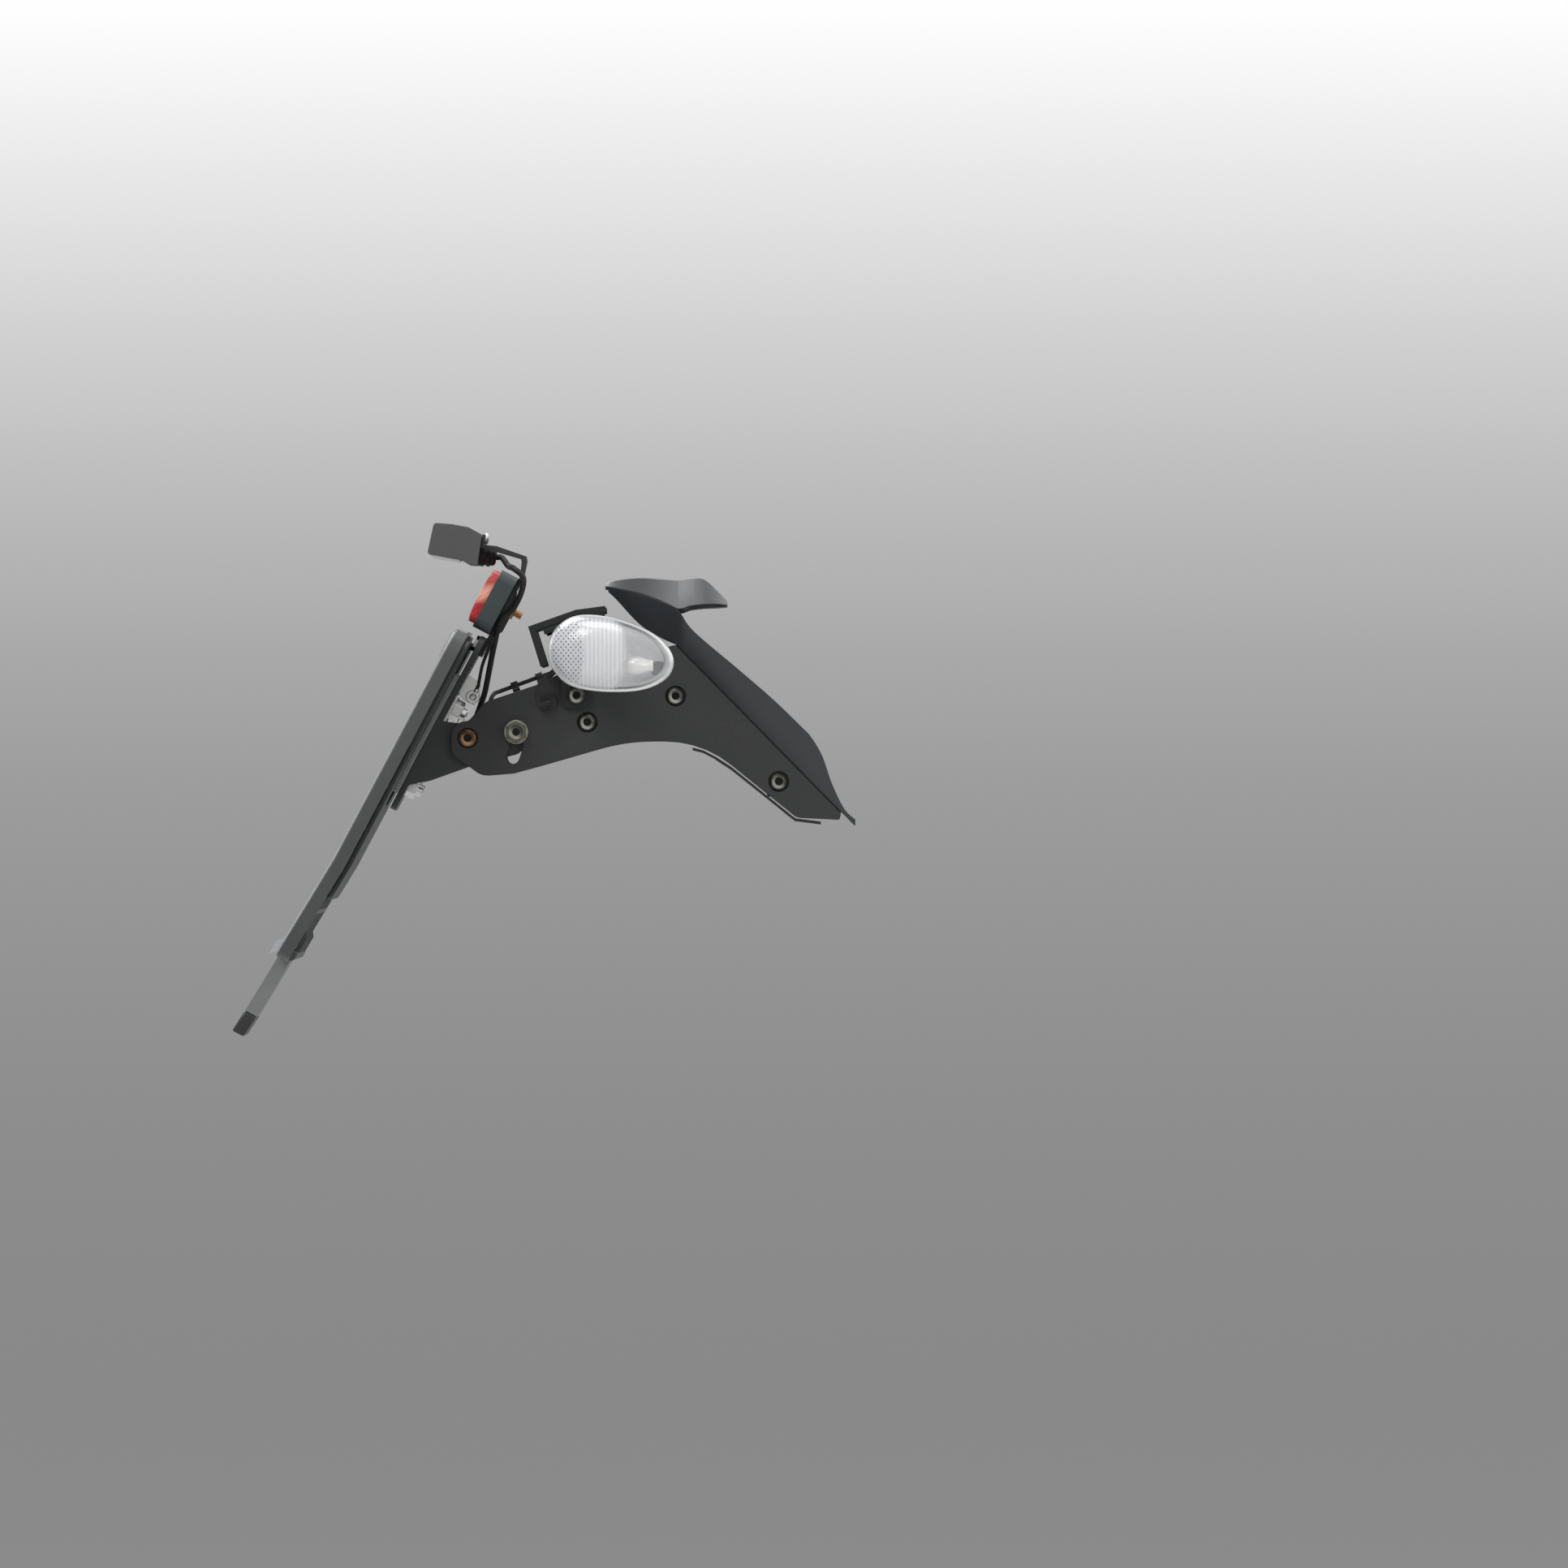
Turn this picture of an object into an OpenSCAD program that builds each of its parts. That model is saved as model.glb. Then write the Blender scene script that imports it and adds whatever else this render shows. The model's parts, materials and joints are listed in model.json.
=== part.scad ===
// Adjustable tail tidy for a sports motorbike: two side plates under the tail, a moulded cover,
// a plate carrier that tilts on the plates, a plate lamp, a rear reflector and two indicators.
// Millimetres. +X points to the front of the bike, +Y to its left, +Z up. The origin is the middle
// of the four subframe bolts, on the face that meets the subframe.

/* [Side plates] */
// Gap between the two side plates
arm_gap = 52; // [48:1:60]
// Thickness of a side plate
plate_t = 4; // [3:0.5:6]
// Distance of the tilt pivot behind the subframe bolts
pivot_back = 90; // [84:1:100]
// Distance of the tilt pivot below the subframe face
pivot_drop = 27; // [25:0.5:30]
// Radius of a plate's nose round the pivot
nose_r = 6.8; // [6:0.1:8]
// Radius of the lobe round the arc slot
lobe_r = 13.9; // [13:0.1:16]
// Depth of the counterbores under the screw heads
counterbore = 1.6; // [1:0.1:2]
// Radius of the small rounded corners of the side plates
plate_corner = 4; // [2:0.5:6]

/* [Tilt] */
// Distance from the pivot to the lock bolt
lock_r = 20.5; // [19:0.5:22]
// Lock bolt's angle above the horizontal at rest
lock_angle = 7; // [4:1:12]
// Travel of the tilt, the angle that the arc slot allows
tilt_max = 30; // [15:1:32]
// Lean of the carrier from the vertical at rest
lean = 28; // [26:0.5:30]
// Radius of the pivot screw's shoulder
pivot_r = 3; // [2.5:0.25:3.5]
// Radial clearance of the shoulder in its bush
running = 0.05; // [0.02:0.01:0.1]
// Wall of the pivot bush
bush_wall = 1.2; // [1:0.1:1.5]
// Gap between an ear of the carrier and its side plate
side_gap = 0.3; // [0.2:0.05:0.5]
// Clearance of the lock bolt in the arc slot
slot_clearance = 0.3; // [0.2:0.05:0.5]

/* [Fasteners] */
// Thread radius of the M5 screws
thread_r = 2.5; // [2:0.25:3]
// Radius of the M5 screw heads
head_r = 3.7; // [3.5:0.1:4.5]
// Height of the screw heads
head_h = 2.2; // [1.8:0.1:2.6]
// Width across the flats of the nuts and the lock bolts
flats = 8; // [8:0.5:9]
// Height of a nut
nut_h = 4; // [3:0.5:5]
// Radius of a plain washer
washer_r = 5; // [4.8:0.1:5.5]
// Thickness of a plain washer
washer_t = 1; // [0.8:0.1:1.5]
// Radial clearance of a screw in its hole
hole_gap = 0.1; // [0.05:0.05:0.3]

/* [Subframe mount] */
// Spacing of the subframe bolts along the bike
mount_x = 26; // [20:1:32]
// Spacing of the subframe bolts across the bike
mount_y = 32; // [24:1:34]
// Radius of the subframe bolt holes, for M6
mount_hole_r = 3.3; // [3:0.1:4]
// Thickness of the mounting bracket's sheet
mount_t = 3; // [2:0.5:4]
// Length of the mounting face along the bike
mount_len = 44; // [42:1:50]

/* [Cover] */
// Wall of the moulded cover
cover_wall = 2.2; // [1.6:0.1:3]
// Groove between the side plates and the cover
groove = 0.5; // [0.3:0.1:1]
// Half width of the cover's nose at its tip
nose_half = 13; // [10:1:18]
// How far the flanks flare outwards past the side plates
flare = 9; // [6:0.5:12]
// Half width of the shelf on top of the nose
shelf_half = 18; // [14:1:20]

/* [Under panel] */
// Thickness of the folded sheet below the plates
panel_t = 1.6; // [1:0.2:2]
// Gap between the sheet and the plates' lower edges
panel_gap = 0.3; // [0.1:0.1:0.6]

/* [Carrier bracket] */
// Thickness of the carrier bracket's sheet
bracket_t = 2.5; // [2:0.25:3]
// Distance of the web's back face behind the pivot
web_back = 15; // [14:0.5:17]
// Height of the web above the pivot
web_up = 40.5; // [38:0.5:42]
// Reach of the web below the pivot
web_down = 41; // [36:1:46]

/* [Plate holder] */
// Width of the plate holder
holder_w = 176; // [150:1:190]
// Height of its top edge above the pivot
holder_up = 38; // [36:1:40]
// Reach of its bottom edge below the pivot
holder_down = 117; // [112:1:125]
// Distance below the pivot at which the holder bends back
kick_down = 70; // [62:1:78]
// Angle of that bend
kick = 3.3; // [0:0.1:6]
// Thickness of the adapter plate
adapter_t = 2; // [1.5:0.5:3]
// Width of the adapter plate
adapter_w = 84; // [70:1:100]
// Thickness of the backing plate
backing_t = 2; // [1.5:0.25:3]
// Width of the backing plate
backing_w = 148; // [130:1:150]
// Thickness of the moulded base
base_t = 5.2; // [4.5:0.1:7]
// Wall left behind the base's pockets
base_skin = 2.2; // [1.6:0.1:2.6]
// Thickness of the bright frame on the base
frame_t = 0.9; // [0.6:0.1:1.5]
// Width of the bright frame's border
frame_border = 7; // [5:0.5:9]
// Length of the tail strip below the holder
strip_len = 37; // [28:1:42]
// Width of the tail strip
strip_w = 62; // [50:1:80]
// Length of the strip's end block
strip_end_len = 10; // [8:1:12]
// Radius of the number plate's bolt holes
plate_hole_r = 2.75; // [2.5:0.25:3.25]
// Distance between the number plate's bolt holes
plate_hole_span = 120; // [110:1:124]
// Height of the raised seat that the number plate lies on
seat_t = 1.2; // [1:0.1:1.4]
// Distance between that seat and the bright frame beside it
seat_inset = 12; // [6:0.5:14]

/* [Reflector and lamp] */
// Width of the reflector
reflector_w = 54; // [46:1:56]
// Height of the reflector
reflector_h = 26.5; // [24:0.5:28]
// Height of the reflector's middle above the pivot
reflector_up = 55.5; // [54.5:0.5:56.5]
// Thickness of the reflector's housing
reflector_t = 7.6; // [6:0.1:8]
// Width of the lamp's housing
lamp_w = 46; // [40:1:52]
// Thickness of the upper bracket's strip
strap_t = 1.6; // [1.2:0.1:2]
// Width of the upper bracket's strip
strap_w = 24; // [22:1:26]

/* [Indicators] */
// Distance of the indicators' centre behind the subframe bolts
indicator_back = 29.5; // [28:0.5:32]
// Height of the indicators' centre above the subframe face
indicator_up = 8; // [7:0.5:10]
// Length of an indicator's lens
lens_l = 52.4; // [50:0.2:54]
// Height of an indicator's lens
lens_h = 32; // [29:0.2:33]
// Depth of the clear lens
lens_depth = 17; // [14:0.5:20]
// Wall of the clear lens
lens_wall = 1.6; // [1.2:0.1:2]
// Depth of the indicator's housing
housing_depth = 14; // [12:0.5:18]
// Thickness of the gasket between lens and housing
gasket_t = 1.2; // [0.8:0.1:2]
// Length of the rubber stem
stem_l = 26; // [20:1:34]
// Radius of the rubber stem
stem_r = 6.5; // [6:0.25:7.5]
// Reach of the indicator bracket past its side plate
bracket_reach = 22; // [20:1:26]
// Thickness of the indicator bracket's sheet
hood_t = 2.6; // [2:0.2:3]

/* [Leads] */
// Diameter of the lamp's lead on the carrier
lamp_lead_d = 2.5; // [2:0.1:3]
// Diameter of the leads on the arm
arm_lead_d = 1.8; // [1.6:0.1:2]

/* [Hidden] */
$fn = 48;
cut = 1;

// Derived places of the arm
y_in = arm_gap / 2;
y_out = y_in + plate_t;
pivot = [-pivot_back, -pivot_drop];
slot_r = thread_r + slot_clearance;
counterbore_r = head_r + 0.6;

// Screws through the side plates, as [x, z]
rear_bridge_screw = [-40, -20.4];
front_bridge_screw = [-3.1, -9.5];
spacer_screw = [40, -45.2];
hood_screw = [-44.5, -9.2];
grommet_at = [-56.4, -12.2];

// The line of the groove between side plate and cover, from its top to its lower end
groove_top = [-3.1, 11.9];
groove_end = [66, -58.5];
tail_angle = atan2(groove_top[1] - groove_end[1], groove_end[0] - groove_top[0]);

// Vector and outline helpers
function flat(p) = [p[0], p[1]];
function unit(v) = v / norm(v);
function turned(v, a) = [v[0] * cos(a) - v[1] * sin(a), v[0] * sin(a) + v[1] * cos(a)];

// One corner b of an outline, rounded to radius r between its neighbours a and c
function arc_corner(a, b, c, r, steps) =
    r == 0 ? [b] :
    let (u = unit(a - b), v = unit(c - b), half = acos(u * v) / 2,
         centre = b + unit(u + v) * r / sin(half), reach = r / tan(half),
         from = b + u * reach - centre, to = b + v * reach - centre,
         start = atan2(from[1], from[0]),
         sweep = atan2(from[0] * to[1] - from[1] * to[0], from * to))
    [for (k = [0 : steps]) centre + r * [cos(start + sweep * k / steps), sin(start + sweep * k / steps)]];

// An outline whose corners are [x, z, radius]
function rounded(p, steps = 5) =
    let (n = len(p))
    [for (i = [0 : n - 1])
        each arc_corner(flat(p[(i + n - 1) % n]), flat(p[i]), flat(p[(i + 1) % n]), p[i][2], steps)];

// A closed solid through a list of rings, each with as many points
module loft(rings) {
    n = len(rings[0]);
    m = len(rings);
    polyhedron(
        points = [for (ring = rings) each ring],
        faces = [
            [for (i = [0 : n - 1]) i],
            [for (i = [n - 1 : -1 : 0]) (m - 1) * n + i],
            for (k = [0 : m - 2]) for (i = [0 : n - 1])
                let (j = (i + 1) % n)
                each [[k * n + i, (k + 1) * n + i, (k + 1) * n + j], [k * n + i, (k + 1) * n + j, k * n + j]]
        ]
    );
}

// Directions of a route at its points, and a frame carried along it
function heading(p, i) = unit(p[min(i + 1, len(p) - 1)] - p[max(i - 1, 0)]);
function carried(p, i, side) =
    let (t = heading(p, i)) unit(side - (side * t) * t);
function sides_along(p, first) =
    [for (i = 0, s = carried(p, 0, first); i < len(p); i = i + 1,
        s = i < len(p) ? carried(p, i, s) : s) s];

// A cord of diameter d along a route, with eight sides
module cord(route, d, first) {
    side = sides_along(route, first);
    loft([for (i = [0 : len(route) - 1])
        let (t = heading(route, i), u = side[i], v = cross(t, u))
        [for (k = [0 : 7]) route[i] + d / 2 * (u * cos(45 * k) + v * sin(45 * k))]]);
}

// Points of a smooth curve through the given ones, with two steps to a span
function spline(a, b, c, d, t) =
    0.5 * (2 * b + (c - a) * t + (2 * a - 5 * b + 4 * c - d) * t * t + (3 * b - a - 3 * c + d) * t * t * t);
function smooth(p) =
    let (n = len(p))
    [for (i = [0 : n - 2]) each [for (k = [0 : 1])
        spline(p[max(i - 1, 0)], p[i], p[i + 1], p[min(i + 2, n - 1)], k / 2)], p[n - 1]];

// Placing helpers: both sides, an outline in X and Z given a span of Y, a bore that points outwards
module both_sides() {
    children();
    mirror([0, 1, 0]) children();
}
module along_y(low, high) {
    translate([0, high, 0]) rotate([90, 0, 0]) linear_extrude(high - low) children();
}
module outwards(at, y) {
    translate([at[0], -y, at[1]]) rotate([90, 0, 0]) children();
}
module carrier_place() {
    translate([pivot[0], 0, pivot[1]]) rotate([0, lean, 0]) children();
}

// Fasteners, with the head's seat at z = 0 and the shank below it
module hex(h, across = flats) {
    cylinder(h = h, r = across / 2 / cos(30), $fn = 6);
}
module button_screw(length, r = thread_r, head = head_r, h = head_h) {
    difference() {
        union() {
            cylinder(h = h * 0.5, r = head);
            translate([0, 0, h * 0.5]) cylinder(h = h * 0.5, r1 = head, r2 = head * 0.68);
            translate([0, 0, -length]) cylinder(h = length, r = r);
        }
        translate([0, 0, h * 0.35]) hex(h, across = head * 0.85);
    }
}
module washer(bore) {
    difference() {
        cylinder(h = washer_t, r = washer_r);
        translate([0, 0, -cut]) cylinder(h = washer_t + 2 * cut, r = bore);
    }
}
module nut(bore = thread_r + running, h = nut_h) {
    difference() {
        intersection() {
            hex(h);
            translate([0, 0, -0.8]) cylinder(h = h + 1.6, r1 = flats / 2 + 1.8, r2 = flats / 2 + 0.2);
        }
        translate([0, 0, -cut]) cylinder(h = h + 2 * cut, r = bore);
    }
}

// Side plates: nose, beam and the long run under the cover, with holes and the arc slot
lobe_at = pivot + [11.6, -1.7];
plate_outline = rounded([
    [pivot[0] - nose_r, pivot[1] + nose_r, nose_r * 0.95],
    [pivot[0] + 0.5, pivot[1] + 7.2, 2],
    [pivot[0] + 7.8, pivot[1] + 15.2, plate_corner],
    [-60.5, -4.6, 6],
    [-52, -0.4, 6],
    [groove_top[0], groove_top[1], 1],
    [groove_end[0], groove_end[1], 1],
    [groove_end[0] - 0.6, -61.2, 0.8],
    [47.5, -60.3, 5],
    [7.8, -28.4, 44],
    [-24, -28.4, 80],
    [-60, -38.8, 20],
    [lobe_at[0] + lobe_r * 0.5, lobe_at[1] - lobe_r * 0.95, 5],
    [lobe_at[0] - lobe_r * 0.4, lobe_at[1] - lobe_r * 1.02, 7],
    [lobe_at[0] - lobe_r * 0.95, lobe_at[1] - lobe_r * 0.62, 3],
    [pivot[0] - nose_r, pivot[1] - nose_r - 0.5, nose_r * 0.95]
]);

slot_from = lock_angle - tilt_max;
function polar(r, a) = r * [cos(a), sin(a)];
// The lock bolt's path about the pivot, widened by the slot's radius, with round ends
slot_outline = concat(
    [for (k = [0 : 20]) polar(lock_r + slot_r, slot_from + tilt_max * k / 20)],
    [for (k = [1 : 11]) polar(lock_r, lock_angle) + polar(slot_r, lock_angle + 15 * k)],
    [for (k = [20 : -1 : 0]) polar(lock_r - slot_r, slot_from + tilt_max * k / 20)],
    [for (k = [1 : 11]) polar(lock_r, slot_from) + polar(slot_r, slot_from + 180 + 15 * k)]
);
module arc_slot() {
    translate([0, 0, -plate_t - cut]) linear_extrude(plate_t + 2 * cut) polygon(slot_outline);
}
module plate_bore(at, r, sunk) {
    outwards(at, y_out) {
        translate([0, 0, -plate_t - cut]) cylinder(h = plate_t + 2 * cut, r = r);
        if (sunk) translate([0, 0, -counterbore]) cylinder(h = counterbore + cut, r = counterbore_r);
    }
}
module side_plate_solid() {
    color([0.16, 0.165, 0.16])
    difference() {
        along_y(-y_out, -y_in) polygon(plate_outline);
        plate_bore(pivot, pivot_r + hole_gap, true);
        plate_bore(rear_bridge_screw, thread_r + hole_gap, true);
        plate_bore(front_bridge_screw, thread_r + hole_gap, true);
        plate_bore(spacer_screw, thread_r + hole_gap, true);
        plate_bore(hood_screw, thread_r + hole_gap, false);
        plate_bore(grommet_at, grommet_r, false);
        outwards(pivot, y_out) arc_slot();
    }
}
module side_plate_right() { side_plate_solid(); }
module side_plate_left() { mirror([0, 1, 0]) side_plate_solid(); }

// Mounting bracket: a flat top with the four subframe holes and a flange down each side plate
flange_outline = rounded([
    [mount_len / 2, 0, 0], [mount_len / 2, -9, 4], [front_bridge_screw[0] + 6, front_bridge_screw[1] - 7, 5],
    [rear_bridge_screw[0] + 2, rear_bridge_screw[1] - 7, 5],
    [rear_bridge_screw[0] - 7, rear_bridge_screw[1] - 5, 4],
    [rear_bridge_screw[0] - 6.5, rear_bridge_screw[1] + 3, 3], [-mount_len / 2, 0, 0]
]);
module mounting_bracket() {
    color([0.2, 0.2, 0.21])
    difference() {
        union() {
            translate([-mount_len / 2, -y_in, -mount_t]) cube([mount_len, arm_gap, mount_t]);
            both_sides() along_y(-y_in, -y_in + mount_t) polygon(flange_outline);
        }
        for (x = [-mount_x / 2, mount_x / 2], y = [-mount_y / 2, mount_y / 2])
            translate([x, y, -mount_t - cut]) cylinder(h = mount_t + 2 * cut, r = mount_hole_r);
        both_sides() for (at = [rear_bridge_screw, front_bridge_screw])
            outwards(at, y_in) translate([0, 0, -mount_t - cut])
                cylinder(h = mount_t + 2 * cut, r = thread_r + hole_gap);
        translate([-mount_x / 2 + mount_hole_r + 4, -mount_y / 4, -mount_t - cut])
            linear_extrude(mount_t + 2 * cut)
                polygon(rounded([
                    [0, 0, 3], [mount_x - 2 * mount_hole_r - 8, 0, 3],
                    [mount_x - 2 * mount_hole_r - 8, mount_y / 2, 3], [0, mount_y / 2, 3]]));
    }
}

// Screws of the bridge and of the indicator brackets, with their nuts
module bracket_screws() {
    color([0.42, 0.42, 0.36])
    both_sides() {
        for (at = [rear_bridge_screw, front_bridge_screw])
            outwards(at, y_out - counterbore)
                button_screw(plate_t - counterbore + mount_t + nut_h + 0.6);
        outwards(hood_screw, y_out + hood_t) button_screw(hood_t + plate_t + nut_h + 0.6);
    }
}
module arm_nuts() {
    color([0.6, 0.6, 0.6])
    both_sides() {
        outwards(pivot, ear_in - side_gap - nut_h) nut();
        for (at = [rear_bridge_screw, front_bridge_screw])
            outwards(at, y_in - mount_t - nut_h) nut();
        outwards(hood_screw, y_in - nut_h) nut();
    }
}

// Cover: two side walls from the nose to the lower end, a top with its shelf, a floor and two screw tabs.
// Each wall station is [x, width and height of the lower edge, of the middle, of the outer edge].
function groove_z(x) = groove_top[1] - (x - groove_top[0]) * tan(tail_angle) + groove / cos(tail_angle);
wall_foot = y_out + 0.4;
cover_nose = [
    [-31.4, 0.38, 34.2, 0.5, 35.2, 0.65, 36.2],
    [-28, 0.6, 31, 0.8, 33.5, 0.95, 35.6],
    [-18.4, 1.2, 20.8, 1.4, 27.5, 1.5, 33.4],
    [-9, 1.9, 14.9, 2.1, 22.5, 2.25, 30]
];
cover_flank = [
    [-2, 26.4, 1], [4.5, 17.6, 1], [22.8, 2, 1], [37.7, -10.9, 1], [49.3, -22.1, 0.95],
    [53.4, -26.4, 0.85], [58.1, -34.3, 0.62], [62.2, -45.9, 0.35], [67.3, -56.4, 0.12], [72, -61, 0.04]
];
function wall_ring(x, y0, z0, y1, z1, y2, z2) =
    [[x, -y0 + cover_wall, z0], [x, -y1 + cover_wall, z1], [x, -y2 + cover_wall * 1.1, z2],
     [x, -y2, z2], [x, -y1, z1], [x, -y0, z0]];
function nose_ring(s) =
    wall_ring(s[0], s[1] * nose_half, s[2], s[3] * nose_half, s[4], s[5] * nose_half, s[6]);
function flank_ring(s) =
    let (low = max(groove_z(s[0]), -63.5), top = max(s[1], low + 1.5))
    wall_ring(s[0], wall_foot, low, wall_foot + flare * s[2] * 0.62, (low + top) / 2,
        wall_foot + flare * s[2], top);

// Top: each station is [x, half width and height of the shoulder, of the deck, thickness]
cover_top = [
    [-32.6, 0.49, 36.5, 0.32, 37.6, 2.2],
    [-28, 0.88, 35.7, 0.6, 39, 2.4],
    [-18.4, 1.42, 33.6, 1.05, 39.9, 2.6],
    [-9, 2.16, 30.3, 1.3, 39.3, 2.6],
    [-2, 2.9, 27, shelf_half / nose_half, 38.8, 2.6]
];
cover_shelf = [[-1.8, 38.8], [7.5, 39.6], [11, 37.6], [14.5, 34.2], [19, 29.4]];
function top_ring(x, y1, z1, y2, z2, t) =
    [[x, -y1, z1], [x, -y1 + t * 0.8, z1 - t * 0.6], [x, -y2 + t * 0.3, z2 - t], [x, y2 - t * 0.3, z2 - t],
     [x, y1 - t * 0.8, z1 - t * 0.6], [x, y1, z1], [x, y2, z2], [x, -y2, z2]];
module cover_top_shell() {
    loft([
        for (s = cover_top) top_ring(s[0], s[1] * nose_half, s[2], s[3] * nose_half, s[4], s[5]),
        for (s = cover_shelf)
            [[s[0], -shelf_half - 0.2, s[1] - 1.2], [s[0], -shelf_half + 0.8, s[1] - 2.4],
             [s[0], -shelf_half + 1.2, s[1] - 3.2], [s[0], shelf_half - 1.2, s[1] - 3.2],
             [s[0], shelf_half - 0.8, s[1] - 2.4], [s[0], shelf_half + 0.2, s[1] - 1.2],
             [s[0], shelf_half, s[1]], [s[0], -shelf_half, s[1]]]
    ]);
}
floor_lift = 0.35;
floor_outline = [
    [30, groove_z(30) + floor_lift], [65, groove_z(65) + floor_lift],
    [65, groove_z(65) + floor_lift + cover_wall], [30, groove_z(30) + floor_lift + cover_wall]
];
tab_outline = rounded([
    [spacer_screw[0] - 7, groove_z(spacer_screw[0] - 7) + 1, 0],
    [spacer_screw[0] + 9, groove_z(spacer_screw[0] + 9) + 1, 0],
    [spacer_screw[0] + 7, spacer_screw[1] - 5, 4],
    [spacer_screw[0] - 6, spacer_screw[1] - 7, 5],
    [spacer_screw[0] - 7, spacer_screw[1] + 5, 3]
]);
tab_t = 2;
module tail_cover() {
    color([0.24, 0.25, 0.26])
    difference() {
        union() {
            cover_top_shell();
            both_sides() loft([for (s = cover_nose) nose_ring(s), for (s = cover_flank) flank_ring(s)]);
            along_y(-wall_foot + 1.1, wall_foot - 1.1) polygon(floor_outline);
            both_sides() along_y(-y_in, -y_in + tab_t) polygon(tab_outline);
        }
        both_sides() outwards(spacer_screw, y_in) translate([0, 0, -tab_t - cut])
            cylinder(h = tab_t + 2 * cut, r = thread_r + hole_gap);
    }
}

// Under panel: a folded sheet along the lower edges, with an ear on each side of the spacer
panel_line = [[4, -31.6], [13, -34.6], [22.5, -41], [46, -60.4], [58, -61.6]];
ear_t = panel_t;
module under_panel() {
    color([0.13, 0.13, 0.13])
    difference() {
        union() {
            along_y(-y_out, y_out) polygon([
                for (p = panel_line) [p[0] - panel_gap * 0.7, p[1] - panel_gap],
                for (i = [len(panel_line) - 1 : -1 : 0])
                    [panel_line[i][0] - (panel_gap + panel_t) * 0.7, panel_line[i][1] - panel_gap - panel_t]
            ]);
            both_sides() along_y(-y_in + tab_t, -y_in + tab_t + ear_t) polygon(rounded([
                [spacer_screw[0] - 7, spacer_screw[1] + 3, 4], [spacer_screw[0] + 2, spacer_screw[1] + 7, 4],
                [spacer_screw[0] + 8, spacer_screw[1] - 4, 3], [spacer_screw[0] + 5, -60.8, 0],
                [spacer_screw[0] - 8, -53.2, 0]
            ]));
        }
        both_sides() outwards(spacer_screw, y_in - tab_t) translate([0, 0, -ear_t - cut])
            cylinder(h = ear_t + 2 * cut, r = thread_r + hole_gap);
    }
}

// Cross tube between the ears of the under panel, and its two screws
spacer_half = y_in - tab_t - ear_t;
module front_spacer() {
    color([0.7, 0.7, 0.72])
    outwards(spacer_screw, -spacer_half)
        difference() {
            cylinder(h = 2 * spacer_half, r = 5);
            translate([0, 0, -cut]) cylinder(h = 2 * spacer_half + 2 * cut, r = thread_r + running);
        }
}
module spacer_screws() {
    color([0.2, 0.2, 0.2])
    both_sides() outwards(spacer_screw, y_out - counterbore)
        button_screw(plate_t - counterbore + tab_t + ear_t + 9);
}

// Pivot: shoulder screws in the side plates, held by nuts inside the ears, and bushes in the ears
ear_out = y_in - side_gap;
ear_in = ear_out - bracket_t;
shoulder = y_out - counterbore - ear_in + side_gap;
module pivot_screws() {
    color([0.55, 0.33, 0.16])
    both_sides() outwards(pivot, y_out - counterbore) {
        button_screw(shoulder, r = pivot_r, head = head_r, h = counterbore);
        translate([0, 0, -shoulder - nut_h - 1]) cylinder(h = nut_h + 1.2, r = thread_r);
    }
}
module pivot_bushes() {
    color([0.62, 0.42, 0.2])
    both_sides() outwards(pivot, ear_in)
        difference() {
            cylinder(h = bracket_t, r = pivot_r + running + bush_wall);
            translate([0, 0, -cut]) cylinder(h = bracket_t + 2 * cut, r = pivot_r + running);
        }
}

// Indicator brackets: a base flange on the side plate, a hood above and behind, an end plate
stem_at = [-indicator_back - 10, indicator_up];
hood_outline = [
    [-59.2, 2.6], [-64.4, 19.4], [-44.6, 26.4], [-32.4, 28], [-32.2, 25.4], [-44, 23.8],
    [-61.2, 17.7], [-56.7, 3.4]
];
lip_outline = [[-58.2, 18], [-50, 20.9], [-50, 18.7], [-57.5, 16]];
base_flange = rounded([
    [-51, -14.5, 3], [-51, 22.5, 0], [-33.5, 26.6, 0], [-33.5, 4, 3], [-38.5, -4, 3], [-38.5, -14.5, 3]
]);
end_plate = rounded([[-52, 20, 0], [-33.5, 26.4, 0], [-31, 2, 4], [-40, -3, 5], [-50, 2, 5]]);
module indicator_bracket() {
    color([0.1, 0.1, 0.1])
    difference() {
        union() {
            along_y(-y_out - bracket_reach, -y_out) polygon(hood_outline);
            along_y(-y_out - bracket_reach, -y_out - bracket_reach + hood_t) polygon(lip_outline);
            along_y(-y_out - hood_t, -y_out) polygon(base_flange);
            along_y(-y_out - bracket_reach, -y_out - bracket_reach + hood_t) polygon(end_plate);
        }
        outwards(hood_screw, y_out) translate([0, 0, -cut])
            cylinder(h = hood_t + 2 * cut, r = thread_r + hole_gap);
        outwards(stem_at, y_out) translate([0, 0, bracket_reach - hood_t - cut])
            cylinder(h = hood_t + 2 * cut, r = stud_r + hole_gap);
    }
}
module indicator_bracket_right() { indicator_bracket(); }
module indicator_bracket_left() { mirror([0, 1, 0]) indicator_bracket(); }

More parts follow.
